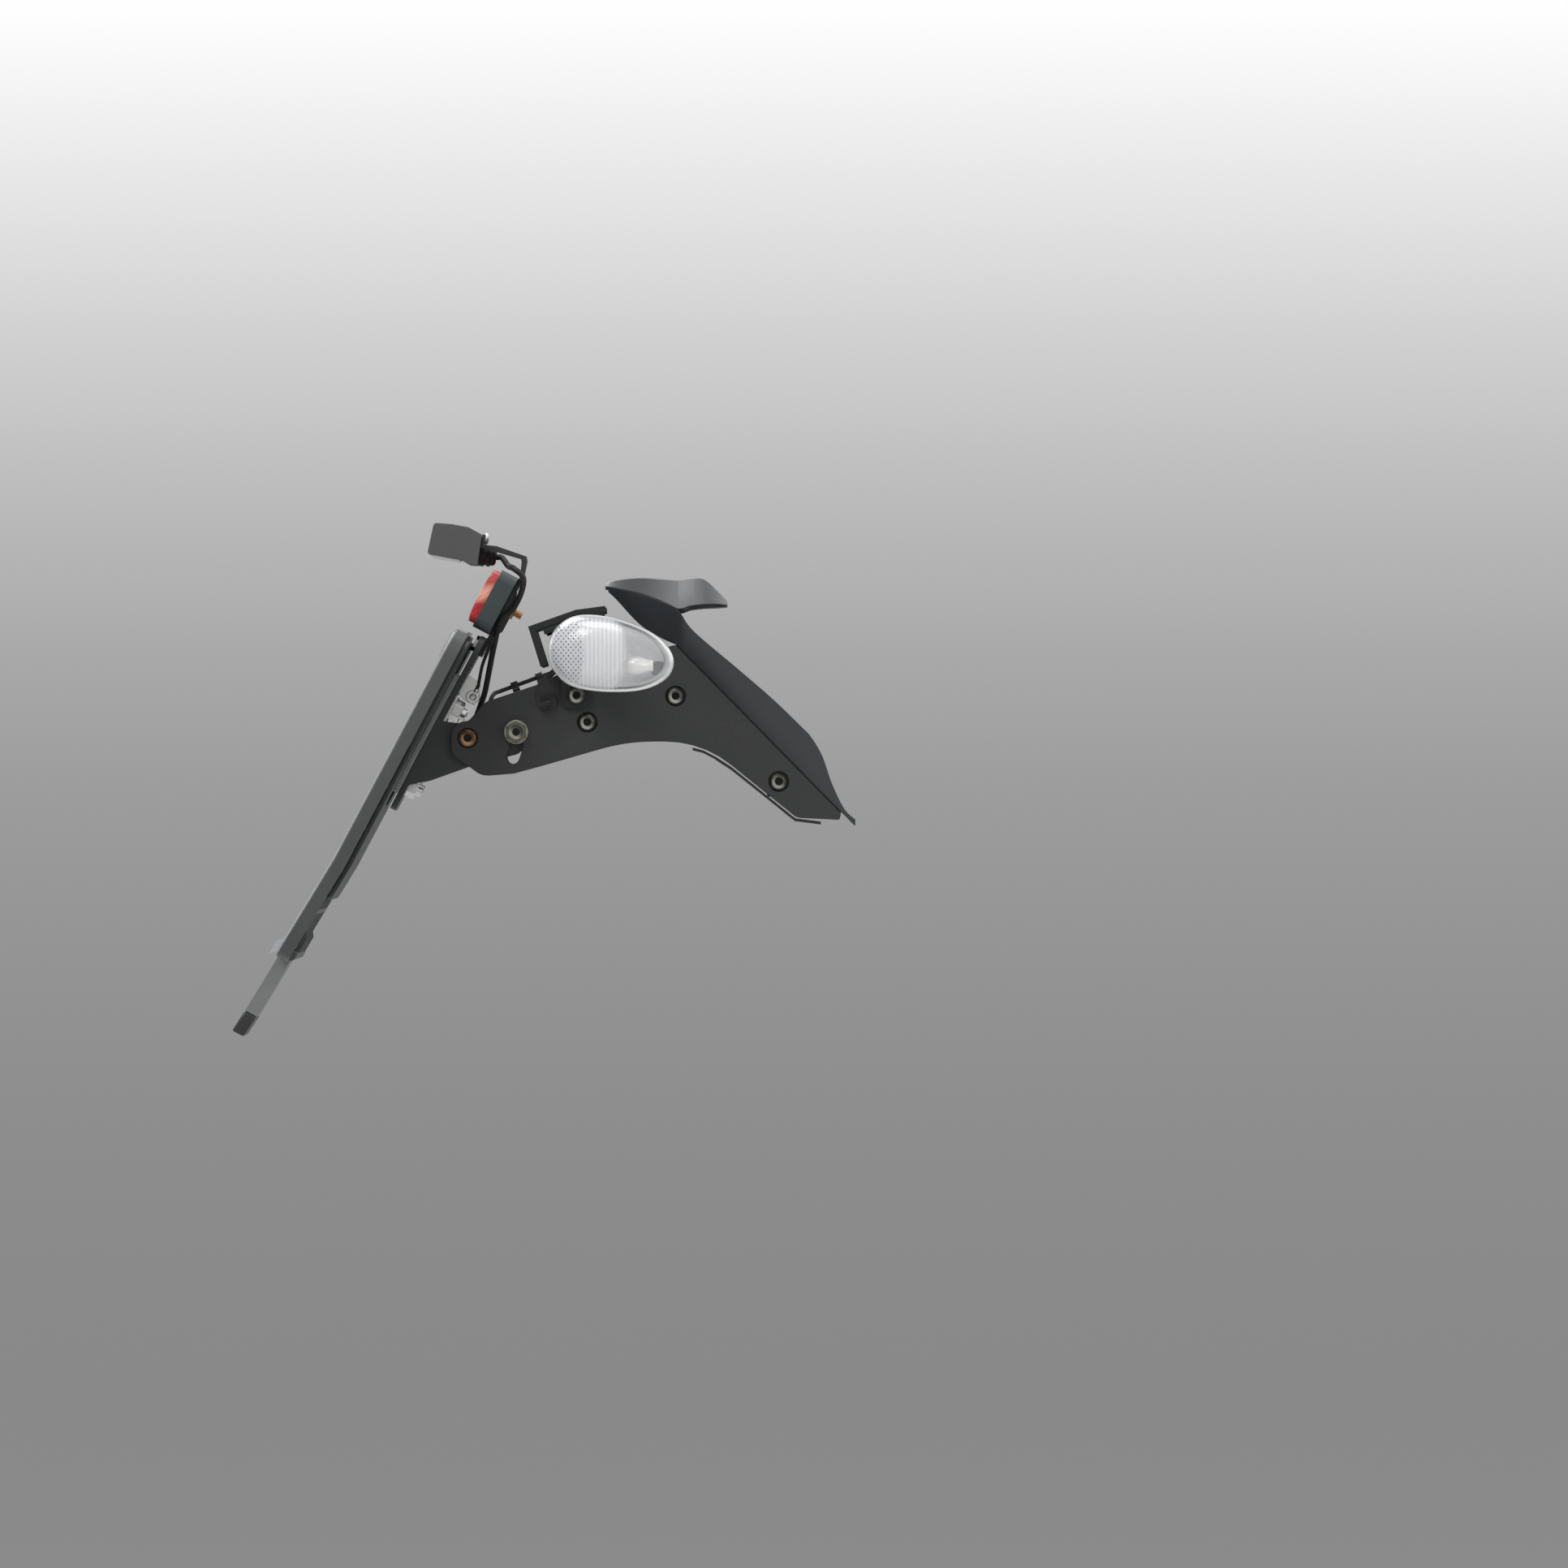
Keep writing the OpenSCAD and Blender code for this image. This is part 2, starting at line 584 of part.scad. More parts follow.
// Indicator stem: a waisted rubber sleeve on a hollow stud, held by a nut
stud_r = 4;
stud_bore = 1.6;
stem_from = y_out + bracket_reach;
module indicator_stem() {
    color([0.07, 0.07, 0.07])
    outwards(stem_at, stem_from)
        difference() {
            union() {
                rotate_extrude() polygon([
                    [0, 0], [stem_r + 1.5, 0], [stem_r + 1.5, 2], [stem_r, 3.5],
                    [stem_r - 1.2, stem_l * 0.45], [stem_r, stem_l - 3], [stem_r + 1, stem_l], [0, stem_l]]);
                translate([0, 0, -hood_t - nut_h - 1.5]) cylinder(h = hood_t + nut_h + 2, r = stud_r);
            }
            translate([0, 0, -hood_t - nut_h - 1.5 - cut]) cylinder(h = stem_l * 0.8, r = stud_bore);
        }
}
module indicator_stem_right() { indicator_stem(); }
module indicator_stem_left() { mirror([0, 1, 0]) indicator_stem(); }
module stem_nuts() {
    color([0.65, 0.65, 0.65])
    both_sides() outwards(stem_at, stem_from - hood_t - nut_h)
        difference() {
            hex(nut_h, across = 2 * stud_r + 5);
            translate([0, 0, -cut]) cylinder(h = nut_h + 2 * cut, r = stud_r + running);
        }
}

// Teardrop outline of the indicator about its centre, broad at the back and narrow at the front
egg = [
    [-0.33, -0.415], [-0.08, -0.5], [0.24, -0.48], [0.443, -0.323], [0.497, -0.08], [0.4, 0.178],
    [0.21, 0.363], [-0.05, 0.482], [-0.29, 0.48], [-0.45, 0.3], [-0.5, 0.03], [-0.465, -0.2]
];
function teardrop(l, h) =
    let (n = len(egg))
    [for (i = [0 : n - 1]) each [for (k = [0 : 2])
        let (p = spline(egg[(i + n - 1) % n], egg[i], egg[(i + 1) % n], egg[(i + 2) % n], k / 3))
        [p[0] * l, p[1] * h]]];
tear_mid = [-0.06, 0.01];
function ring_at(l, h, scale, depth) =
    let (mid = [tear_mid[0] * l, tear_mid[1] * h])
    [for (p = teardrop(l, h)) let (q = mid + (p - mid) * scale) [q[0], q[1], depth]];
function moved(ring, dx) = [for (p = ring) [p[0] + dx, p[1], p[2]]];
function dome(l, h, depth, crown, steps) =
    [for (k = [0 : steps]) let (a = 90 * k / steps)
        ring_at(l, h, crown + (1 - crown) * pow(cos(a), 0.75), depth * pow(sin(a), 0.9))];
module indicator_place(y) {
    translate([-indicator_back, -y, indicator_up]) rotate([90, 0, 0]) children();
}
housing_from = stem_from + stem_l;
gasket_from = housing_from + housing_depth;
lens_from = gasket_from + gasket_t;
lens_crown = 0.42;

// Housing: a moulded cup that narrows to the stem, hollow towards the lens
module indicator_housing() {
    color([0.12, 0.12, 0.12])
    difference() {
        indicator_place(housing_from)
            loft([for (s = [[0.34, 0, -6], [0.62, 0.12, -2], [0.84, 0.36, 0], [0.95, 0.68, 0], [0.99, 1, 0]])
                moved(ring_at(lens_l, lens_h, s[0], s[1] * housing_depth), s[2])]);
        indicator_place(housing_from)
            loft([for (s = [[0.58, 0.3], [0.74, 0.5], [0.86, 0.75], [0.92, 1.1]])
                ring_at(lens_l, lens_h, s[0], s[1] * housing_depth)]);
        outwards(stem_at, housing_from) translate([0, 0, -cut]) cylinder(h = housing_depth, r = stud_bore);
    }
}
module indicator_housing_right() { indicator_housing(); }
module indicator_housing_left() { mirror([0, 1, 0]) indicator_housing(); }

// Gaskets: a flat ring between each housing and its lens
module lens_gaskets() {
    color([0.05, 0.05, 0.05])
    both_sides() indicator_place(gasket_from)
        linear_extrude(gasket_t)
            difference() {
                polygon([for (p = ring_at(lens_l, lens_h, 1, 0)) flat(p)]);
                polygon([for (p = ring_at(lens_l, lens_h, 0.88, 0)) flat(p)]);
            }
}

// Clear lens: a hollow dome over the teardrop
module indicator_lens() {
    color([0.9, 0.93, 0.95, 0.4])
    difference() {
        indicator_place(lens_from) loft(dome(lens_l, lens_h, lens_depth, lens_crown, 6));
        indicator_place(lens_from - 0.01)
            loft(dome(lens_l - 2 * lens_wall, lens_h - 2 * lens_wall, lens_depth - lens_wall, lens_crown, 6));
    }
}
module indicator_lens_right() { indicator_lens(); }
module indicator_lens_left() { mirror([0, 1, 0]) indicator_lens(); }

// Bright bowl behind the bulb, standing in the housing
bulb_k = lens_l / 52.4;
bulb_at = [8 * bulb_k, 0];
bowl_scale = 0.84;
module indicator_reflector() {
    color([0.85, 0.86, 0.88])
    difference() {
        indicator_place(gasket_from)
            loft([for (s = [[0.52, -0.55], [0.72, -0.38], [0.81, -0.15], [bowl_scale, 0.08]])
                ring_at(lens_l, lens_h, s[0], s[1] * housing_depth)]);
        indicator_place(gasket_from)
            loft([for (s = [[0.42, -0.45], [0.64, -0.3], [0.75, -0.1], [0.8, 0.2]])
                ring_at(lens_l, lens_h, s[0], s[1] * housing_depth)]);
        indicator_place(gasket_from) translate([bulb_at[0], bulb_at[1], -housing_depth])
            cylinder(h = housing_depth, r = 4.2 * bulb_k);
    }
}
module indicator_reflector_right() { indicator_reflector(); }
module indicator_reflector_left() { mirror([0, 1, 0]) indicator_reflector(); }

// Bulb holder and bulb, on the housing's floor
module bulb_holder() {
    color([0.2, 0.2, 0.2])
    indicator_place(housing_from + housing_depth * 0.3) translate([bulb_at[0], bulb_at[1], 0])
        difference() {
            cylinder(h = 8, r = 4 * bulb_k);
            translate([0, 0, 3]) cylinder(h = 8, r = 3.05 * bulb_k);
        }
}
module bulb_holder_right() { bulb_holder(); }
module bulb_holder_left() { mirror([0, 1, 0]) bulb_holder(); }
module indicator_bulb() {
    color([0.95, 0.8, 0.5])
    indicator_place(housing_from + housing_depth * 0.3 + 3) translate([bulb_at[0], bulb_at[1], 0])
        rotate_extrude() polygon(concat(
            [[0, 0], [3 * bulb_k, 0], [3 * bulb_k, 7], [3.6 * bulb_k, 9]],
            [for (a = [0 : 15 : 90]) [4.2 * bulb_k * cos(a), 11.5 + 4.6 * sin(a)]]));
}
module indicator_bulb_right() { indicator_bulb(); }
module indicator_bulb_left() { mirror([0, 1, 0]) indicator_bulb(); }

// Leads of the indicators, from the stud through the grommet to the plug block
grommet_r = 3.2;
stud_end = stem_from - hood_t - nut_h - 1.5;
lead_points = [
    [stem_at[0], -stud_end - 3, stem_at[1]], [stem_at[0], -stud_end + 3, stem_at[1]],
    [stem_at[0] - 9, -y_out - 9, stem_at[1] - 3], [-60, -y_out - 7, -5],
    [grommet_at[0] - 4, -y_out - 6, grommet_at[1] - 0.5], [grommet_at[0], -y_out - 3, grommet_at[1]],
    [grommet_at[0], -y_in, grommet_at[1]], [grommet_at[0], -y_in + 5, grommet_at[1]],
    [-46, -15, -11], [-34, -7, -9], [-28.1, -6, -9]
];
module indicator_lead() {
    color([0.06, 0.06, 0.06]) cord(smooth(lead_points), arm_lead_d, [0, 0, 1]);
}
module indicator_lead_right() { indicator_lead(); }
module indicator_lead_left() { mirror([0, 1, 0]) indicator_lead(); }
module cable_grommets() {
    color([0.08, 0.08, 0.08])
    both_sides() outwards(grommet_at, y_out)
        difference() {
            rotate_extrude() polygon([
                [arm_lead_d / 2 + 0.2, -plate_t - 1], [grommet_r + 1, -plate_t - 1],
                [grommet_r + 1, -plate_t], [grommet_r - 0.05, -plate_t], [grommet_r - 0.05, 0],
                [grommet_r + 1.2, 0], [grommet_r + 0.6, 1.2], [arm_lead_d / 2 + 0.2, 1.4]]);
        }
}

// Plug block under the mounting bracket, with a socket that faces forwards
block = [18, 18, 8];
module loom_connector() {
    color([0.15, 0.15, 0.15])
    translate([-28, -block[1] / 2, -mount_t - block[2] - 0.05])
        difference() {
            cube(block);
            translate([block[0] - 9, 1.5, 1.5]) cube([9 + cut, block[1] - 3, block[2] - 3]);
        }
}

// The lamp's lead on the arm, from the pivot axis to the plug block, and its two clips
clip_y = y_in - 4.5;
fixed_points = [
    [pivot[0], 0.08, pivot[1]], [pivot[0], 4, pivot[1]], [pivot[0] + 3, 8, pivot[1] + 2],
    [pivot[0] + 7, 9, pivot[1] + 8], [pivot[0] + 9, 11, pivot[1] + 15.5],
    [pivot[0] + 10.5, 17, pivot[1] + 18.6],
    [pivot[0] + 12.7, clip_y - 0.6, pivot[1] + 19.65], [-75, clip_y, -6.5], [-69, clip_y, -4.3],
    [-58, clip_y, -0.4], [-50, clip_y, 1.4], [-42, 14, -1], [-34, 4, -6], [-28.1, 2, -7]
];
module fixed_lead() {
    color([0.06, 0.06, 0.06]) cord(smooth(fixed_points), arm_lead_d, [0, 0, 1]);
}
module cable_clip(x, z, rise, foot) {
    translate([x, clip_y, z]) rotate([0, 90 - rise, 0])
        difference() {
            union() {
                translate([0, 0, -1.5]) cylinder(h = 3, r = arm_lead_d / 2 + 1.2);
                translate([0, 0, -1.5]) cube([foot, y_in - clip_y, 3]);
            }
            translate([0, 0, -1.5 - cut]) cylinder(h = 3 + 2 * cut, r = arm_lead_d / 2 + 0.15);
        }
}
module cable_clips() {
    color([0.1, 0.1, 0.1]) {
        cable_clip(-70.8, -4.96, 20, 6);
        cable_clip(-60.5, -1.26, 19, 6);
    }
}

// Carrier parts, drawn about the pivot: x forwards, z up along the holder.
// The holder's lower part bends back by this much at height z.
function kicked(z) = z < -kick_down ? (-kick_down - z) * tan(kick) : 0;
web_x = -web_back;
adapter_x = web_x - adapter_t;
backing_x = adapter_x - backing_t;
base_x = backing_x - base_t;
lock_at = lock_r * [cos(lock_angle + lean), sin(lock_angle + lean)];
bolt_z = [-29, 8];
bolt_y = 16;
ear_outline = rounded([
    [web_x, -31, 0], [web_x, 0.5, 0], [-6.5, 3.6, 4], [lock_at[0] - 7, lock_at[1] + 5.5, 5],
    [lock_at[0] + 7, lock_at[1] + 6, 6], [lock_at[0] + 5, lock_at[1] - 7.5, 6], [6, -10.2, 8], [-6, -23.4, 6]
]);
module carrier_bracket() {
    color([0.22, 0.24, 0.23])
    carrier_place()
        difference() {
            union() {
                both_sides() along_y(-ear_out, -ear_in) polygon(ear_outline);
                translate([web_x, 0, 0]) rotate([90, 0, 90]) linear_extrude(bracket_t)
                    difference() {
                        polygon(rounded([
                            [-ear_out, -web_down, 6], [ear_out, -web_down, 6],
                            [ear_out, web_up, 3], [-ear_out, web_up, 3]], 4));
                        polygon(rounded([[-9, -22, 3], [9, -22, 3], [9, 2, 3], [-9, 2, 3]], 3));
                    }
            }
            both_sides() outwards([0, 0], ear_in) translate([0, 0, -cut])
                cylinder(h = bracket_t + 2 * cut, r = pivot_r + running + bush_wall + 0.02);
            both_sides() outwards(lock_at, ear_in) translate([0, 0, -cut])
                cylinder(h = bracket_t + 2 * cut, r = thread_r + hole_gap);
            for (z = bolt_z, y = [-bolt_y, bolt_y])
                translate([web_x - cut, y, z]) rotate([0, 90, 0])
                    cylinder(h = bracket_t + 2 * cut, r = thread_r + hole_gap);
            for (y = [-strap_hole_y, strap_hole_y])
                translate([web_x - cut, y, strap_hole_z]) rotate([0, 90, 0])
                    cylinder(h = bracket_t + 2 * cut, r = small_r + hole_gap);
        }
}

// Lock bolts that run in the arc slots, with washers outside and nuts inside
lock_head = 3.5;
module at_lock(y) { carrier_place() outwards(lock_at, y) children(); }
module lock_bolts() {
    color([0.5, 0.5, 0.42])
    both_sides() at_lock(y_out + side_gap + washer_t) {
        difference() {
            intersection() {
                hex(lock_head);
                cylinder(h = lock_head, r1 = flats / 2 + 2.4, r2 = flats / 2 + 0.1);
            }
            translate([0, 0, lock_head - 0.5]) cylinder(h = cut, r = flats / 2 - 1.4);
        }
        translate([0, 0, -y_out - side_gap - washer_t + ear_in - nut_h - 1])
            cylinder(h = y_out + side_gap + washer_t - ear_in + nut_h + 1.1, r = thread_r);
    }
}
module lock_washers() {
    color([0.45, 0.45, 0.4]) both_sides() at_lock(y_out + side_gap) washer(thread_r + hole_gap);
}
module lock_nuts() {
    color([0.6, 0.6, 0.6]) both_sides() at_lock(ear_in - nut_h) nut();
}

// A flat layer of the holder, from x to x + t, following the bend
module layer(x, t, top, bottom, width) {
    along_y(-width / 2, width / 2) polygon([
        [x, top], [x + t, top], [x + t, -min(kick_down, bottom)],
        if (bottom > kick_down) [x + t - kicked(-bottom), -bottom],
        if (bottom > kick_down) [x - kicked(-bottom), -bottom], [x, -min(kick_down, bottom)]
    ]);
}
// The face outline of a layer, seen from behind, to cut its corners round
module face_cut(width, top, bottom, r) {
    translate([-60, 0, 0]) rotate([90, 0, 90]) linear_extrude(80) polygon(rounded([
        [-width / 2, -bottom, r], [width / 2, -bottom, r], [width / 2, top, r], [-width / 2, top, r]], 4));
}
module bolt_holes(x, t, r = thread_r + hole_gap) {
    for (z = bolt_z, y = [-bolt_y, bolt_y])
        translate([x - cut, y, z]) rotate([0, 90, 0]) cylinder(h = t + 2 * cut, r = r);
}
module plate_holes(x, t, r) {
    for (y = [-plate_hole_span / 2, plate_hole_span / 2])
        translate([x - cut, y, plate_hole_z]) rotate([0, 90, 0]) cylinder(h = t + 2 * cut, r = r);
}
plate_hole_z = 10;
seat_up = 22;
adapter_down = 34;
adapter_up = 21.5;
backing_down = 86;
module adapter_plate() {
    color([0.55, 0.56, 0.58])
    carrier_place() difference() {
        intersection() {
            layer(adapter_x, adapter_t, adapter_up, adapter_down, adapter_w);
            face_cut(adapter_w, adapter_up, adapter_down, 5);
        }
        bolt_holes(adapter_x, adapter_t);
    }
}
module backing_plate() {
    color([0.32, 0.34, 0.34])
    carrier_place() difference() {
        intersection() {
            layer(backing_x, backing_t, holder_up - 2, backing_down, backing_w);
            face_cut(backing_w, holder_up - 2, backing_down, 8);
        }
        bolt_holes(backing_x, backing_t);
        plate_holes(backing_x, backing_t, plate_hole_r + 1.5);
    }
}

// Base of the plate holder: a ribbed moulding whose pockets open forwards
rib = 2;
pocket_cols = 6;
pocket_rows = 5;
rim = 5;
pocket_w = (holder_w - 2 * rim - (pocket_cols - 1) * rib) / pocket_cols;
pocket_top = -14;
pocket_h = (holder_down + pocket_top - rim - (pocket_rows - 1) * rib) / pocket_rows;
module plate_base() {
    color([0.3, 0.32, 0.32])
    carrier_place() difference() {
        union() {
            intersection() {
                layer(base_x, base_t, holder_up, holder_down, holder_w);
                face_cut(holder_w, holder_up, holder_down, 10);
            }
            // Raised seat for the number plate, inside the bright frame
            intersection() {
                translate([base_x - seat_t, -holder_w / 2, -kick_down + 4])
                    cube([seat_t + 1, holder_w, seat_up + kick_down - 4]);
                face_cut(holder_w - 2 - 2 * frame_border - 2 * seat_inset, seat_up, kick_down - 4, 6);
            }
            // Lip along the bottom edge
            along_y(-holder_w / 2 + 12, holder_w / 2 - 12) polygon([
                [backing_x - kicked(-102) - 0.1, -102], [backing_x - kicked(-105) + 2, -105],
                [backing_x - kicked(-115) + 2, -115], [backing_x - kicked(-116.5) - 0.1, -116.5]]);
        }
        // Pockets, with a boss left round each bolt
        difference() {
            for (c = [0 : pocket_cols - 1], r = [0 : pocket_rows - 1])
                let (y = -holder_w / 2 + rim + c * (pocket_w + rib), z = pocket_top - r * (pocket_h + rib))
                translate([base_x + base_skin - kicked(z - pocket_h / 2), y, z - pocket_h])
                    cube([base_t, pocket_w, pocket_h]);
            bolt_holes(base_x, base_t, r = head_r + 3);
        }
        bolt_holes(base_x, base_t);
        bolt_holes(base_x - seat_t - cut, bolt_seat - base_x + seat_t, r = head_r + 1.2);
        plate_holes(base_x - seat_t, base_t + seat_t, plate_hole_r);
    }
}

// Bright frame on the base's rear face, with hooks at the top and the bottom
hook_w = 14;
module plate_frame() {
    color([0.75, 0.76, 0.77])
    carrier_place() difference() {
        union() {
            difference() {
                intersection() {
                    layer(base_x - frame_t, frame_t, holder_up - 1, holder_down - 1, holder_w - 2);
                    face_cut(holder_w - 2, holder_up - 1, holder_down - 1, 9);
                }
                face_cut(holder_w - 2 - 2 * frame_border, holder_up - 1 - frame_border,
                    holder_down - 1 - frame_border, 4);
            }
            for (y = [-holder_w / 3, 0, holder_w / 3]) {
                along_y(y - hook_w / 2, y + hook_w / 2) polygon([
                    [base_x - frame_t + 0.3, 23.8], [base_x - frame_t - 0.9, 25],
                    [base_x - frame_t - 1, 35], [base_x - 0.2, holder_up + 0.6],
                    [base_x + base_t - 1, holder_up + 1.4], [base_x + base_t - 1, holder_up + 0.1],
                    [base_x, holder_up + 0.1], [base_x, holder_up - 1]]);
                along_y(y - hook_w / 2, y + hook_w / 2) polygon([
                    [base_x - frame_t + 0.3 - kicked(-107.6), -107.6],
                    [base_x - frame_t - 2.4 - kicked(-112), -111.5],
                    [base_x - frame_t - 2.6 - kicked(-116), -118],
                    [base_x - frame_t + 0.3 - kicked(-115.6), -115.6]]);
            }
        }
    }
}

// Tail strip below the holder, and its end block
strip_top = holder_down + 0.1;
strip_bottom = holder_down + strip_len;
module tail_strip() {
    color([0.42, 0.43, 0.43])
    carrier_place() difference() {
        along_y(-strip_w / 2, strip_w / 2) polygon([
            [base_x - kicked(-strip_top), -strip_top], [base_x + base_t - kicked(-strip_top), -strip_top],
            [base_x + base_t - kicked(-strip_bottom + strip_end_len), -strip_bottom + strip_end_len],
            [base_x - kicked(-strip_bottom + strip_end_len), -strip_bottom + strip_end_len]]);
        for (i = [0 : 4])
            let (z = -strip_top - 5 - i * 4)
            translate([base_x - kicked(z) - 1, -strip_w / 2 + 5, z - 1.2]) cube([1.8, strip_w - 10, 1.6]);
    }
}
module strip_end() {
    color([0.14, 0.14, 0.14])
    carrier_place()
        along_y(-strip_w / 2, strip_w / 2) polygon([
            [base_x - kicked(-strip_bottom) - 0.4, -strip_bottom],
            [base_x - kicked(-strip_bottom + strip_end_len) - 0.2, -strip_bottom + strip_end_len],
            [base_x + base_t - kicked(-strip_bottom + strip_end_len) + 0.2, -strip_bottom + strip_end_len],
            [base_x + base_t - kicked(-strip_bottom) - 0.1, -strip_bottom]]);
}

// Bolts through the holder's layers and the web, with nuts on the front
bolt_seat = base_x + 2.6;
web_front = web_x + bracket_t;
function nut_seat(z) = z > 0 ? web_front + strip_t : web_front;
module holder_bolts() {
    color([0.62, 0.62, 0.62])
    carrier_place() {
        for (z = bolt_z, y = [-bolt_y, bolt_y])
            translate([bolt_seat, y, z]) rotate([0, -90, 0])
                button_screw(nut_seat(z) - bolt_seat + nut_h + 2);
    }
}
module holder_nuts() {
    color([0.8, 0.8, 0.8])
    carrier_place()
        for (z = bolt_z, y = [-bolt_y, bolt_y])
            translate([nut_seat(z), y, z]) rotate([0, 90, 0]) nut();
}

// Stainless strip under the upper pair of nuts
strip_t = 1.2;
module clamp_strip() {
    color([0.8, 0.8, 0.8])
    carrier_place() difference() {
        translate([web_front, -bolt_y - 6, 0.5]) cube([strip_t, 2 * bolt_y + 12, 13]);
        for (y = [-bolt_y, bolt_y])
            translate([web_front - cut, y, bolt_z[1]]) rotate([0, 90, 0])
                cylinder(h = strip_t + 2 * cut, r = thread_r + hole_gap);
    }
}

// Upper bracket: a strip that laps the web's front, bent back to the lamp, with two side flanges
small_r = 2;
strap_x = web_x + bracket_t;
strap_foot = 32.5;
strap_hole_z = 36.5;
strap_hole_y = 7;
strap_bend = 70;
lamp_at = [-45.3, 69.1];
lamp_tilt = 19.8;
function lamp_point(a, b) = lamp_at + turned([a, b], lamp_tilt);
strap_outline = [
    [strap_x, strap_foot], [strap_x + strap_t, strap_foot], [strap_x + strap_t, strap_bend],
    [strap_x - 0.4, 77], [strap_x - 1.6, 78.6], lamp_point(19.6, 0.9), lamp_point(17.4, 0.8),
    lamp_point(14.4, 0.7), lamp_point(14.4, 4.9), lamp_point(13, 4.9), lamp_point(13, -1),
    lamp_point(17, -0.6), lamp_point(20, -1.5), [strap_x - 3.2, 76.6], [strap_x - 2.4, 75.8],
    [strap_x, strap_bend]
];
module upper_bracket() {
    color([0.1, 0.1, 0.1])
    carrier_place() difference() {
        union() {
            along_y(-strap_w / 2, strap_w / 2) polygon(strap_outline);
            both_sides() along_y(-strap_w / 2, -strap_w / 2 + strap_t)
                polygon([[strap_x + strap_t - 0.1, 42], [strap_x + 4, 46],
                    [strap_x + 4, 58], [strap_x + strap_t - 0.1, 64]]);
        }
        for (y = [-strap_hole_y, strap_hole_y])
            translate([strap_x - cut, y, strap_hole_z]) rotate([0, 90, 0])
                cylinder(h = strap_t + 2 * cut, r = small_r + hole_gap);
        translate([strap_x - cut, 0, reflector_up]) rotate([0, 90, 0])
            cylinder(h = strap_t + 2 * cut, r = stud_thread + hole_gap);
        lamp_place() translate([11, -boot_r - 0.3, boot_b - 9])
            cube([14, 2 * boot_r + 0.6, 9 + boot_r + 0.6]);
        for (y = [-lamp_screw_y, lamp_screw_y])
            lamp_place() translate([12, y, 3.4]) rotate([0, 90, 0]) cylinder(h = 4, r = 1.15 + hole_gap);
    }
}

// Screws that hold the upper bracket to the web, with their nuts fused behind the web
module upper_screws() {
    color([0.6, 0.6, 0.6])
    carrier_place() for (y = [-strap_hole_y, strap_hole_y])
        translate([strap_x + strap_t, y, strap_hole_z]) rotate([0, 90, 0]) {
            button_screw(strap_t + bracket_t + 1.6, r = small_r, head = 3.4, h = 1.8);
            translate([0, 0, -strap_t - bracket_t - 1.6]) hex(1.6, across = 6);
        }
}

// Reflector: housing with a stud, red lens, washer and nut
reflector_low = reflector_up - reflector_h / 2;
housing_x = strap_x - reflector_t - 0.05;
stud_thread = 1.5;
lens_recess = 0.8;
lens_proud = 2.7;
lens_bulge = 1.2;
module reflector_face(inset, r) {
    polygon(rounded([
        [-reflector_w / 2 + inset, reflector_low + inset, r],
        [reflector_w / 2 - inset, reflector_low + inset, r],
        [reflector_w / 2 - inset, reflector_low + reflector_h - inset, r],
        [-reflector_w / 2 + inset, reflector_low + reflector_h - inset, r]], 4));
}
module reflector_housing() {
    color([0.22, 0.25, 0.25])
    carrier_place() difference() {
        translate([housing_x, 0, 0]) rotate([90, 0, 90]) linear_extrude(reflector_t) reflector_face(0, 4);
        translate([housing_x - cut, 0, 0]) rotate([90, 0, 90]) linear_extrude(lens_recess + cut)
            reflector_face(1.2, 3);
        translate([housing_x + 2.5, 0, reflector_up]) rotate([0, 90, 0])
            cylinder(h = reflector_t, r = stud_thread + 0.02);
    }
}
module reflector_stud() {
    color([0.8, 0.66, 0.36])
    carrier_place() translate([housing_x + 2.5, 0, reflector_up]) rotate([0, 90, 0])
        cylinder(h = reflector_t - 2.5 + 0.05 + strap_t + washer_t + reflector_nut_h + 3.2, r = stud_thread);
}
module reflector_lens() {
    color([0.8, 0.1, 0.08])
    carrier_place() intersection() {
        translate([housing_x - 6, 0, 0]) rotate([90, 0, 90]) linear_extrude(12) reflector_face(1.3, 3);
        along_y(-reflector_w / 2, reflector_w / 2) polygon([
            [housing_x + lens_recess, reflector_low], [housing_x + lens_recess, reflector_low + reflector_h],
            [housing_x - lens_proud, reflector_low + reflector_h],
            for (k = [-5 : 5])
                [housing_x - lens_proud - lens_bulge * cos(15 * k),
                    reflector_up - reflector_h * 0.42 * sin(15 * k)],
            [housing_x - lens_proud, reflector_low]]);
    }
}
module reflector_washer() {
    color([0.42, 0.26, 0.18])
    carrier_place() translate([strap_x + strap_t, 0, reflector_up]) rotate([0, 90, 0])
        washer(stud_thread + hole_gap);
}
reflector_nut_h = 2.4;
module reflector_nut() {
    color([0.3, 0.22, 0.18])
    carrier_place() translate([strap_x + strap_t + washer_t, 0, reflector_up]) rotate([0, 90, 0])
        difference() {
            hex(reflector_nut_h, across = 5.5);
            translate([0, 0, -cut]) cylinder(h = reflector_nut_h + 2 * cut, r = stud_thread + running);
        }
}

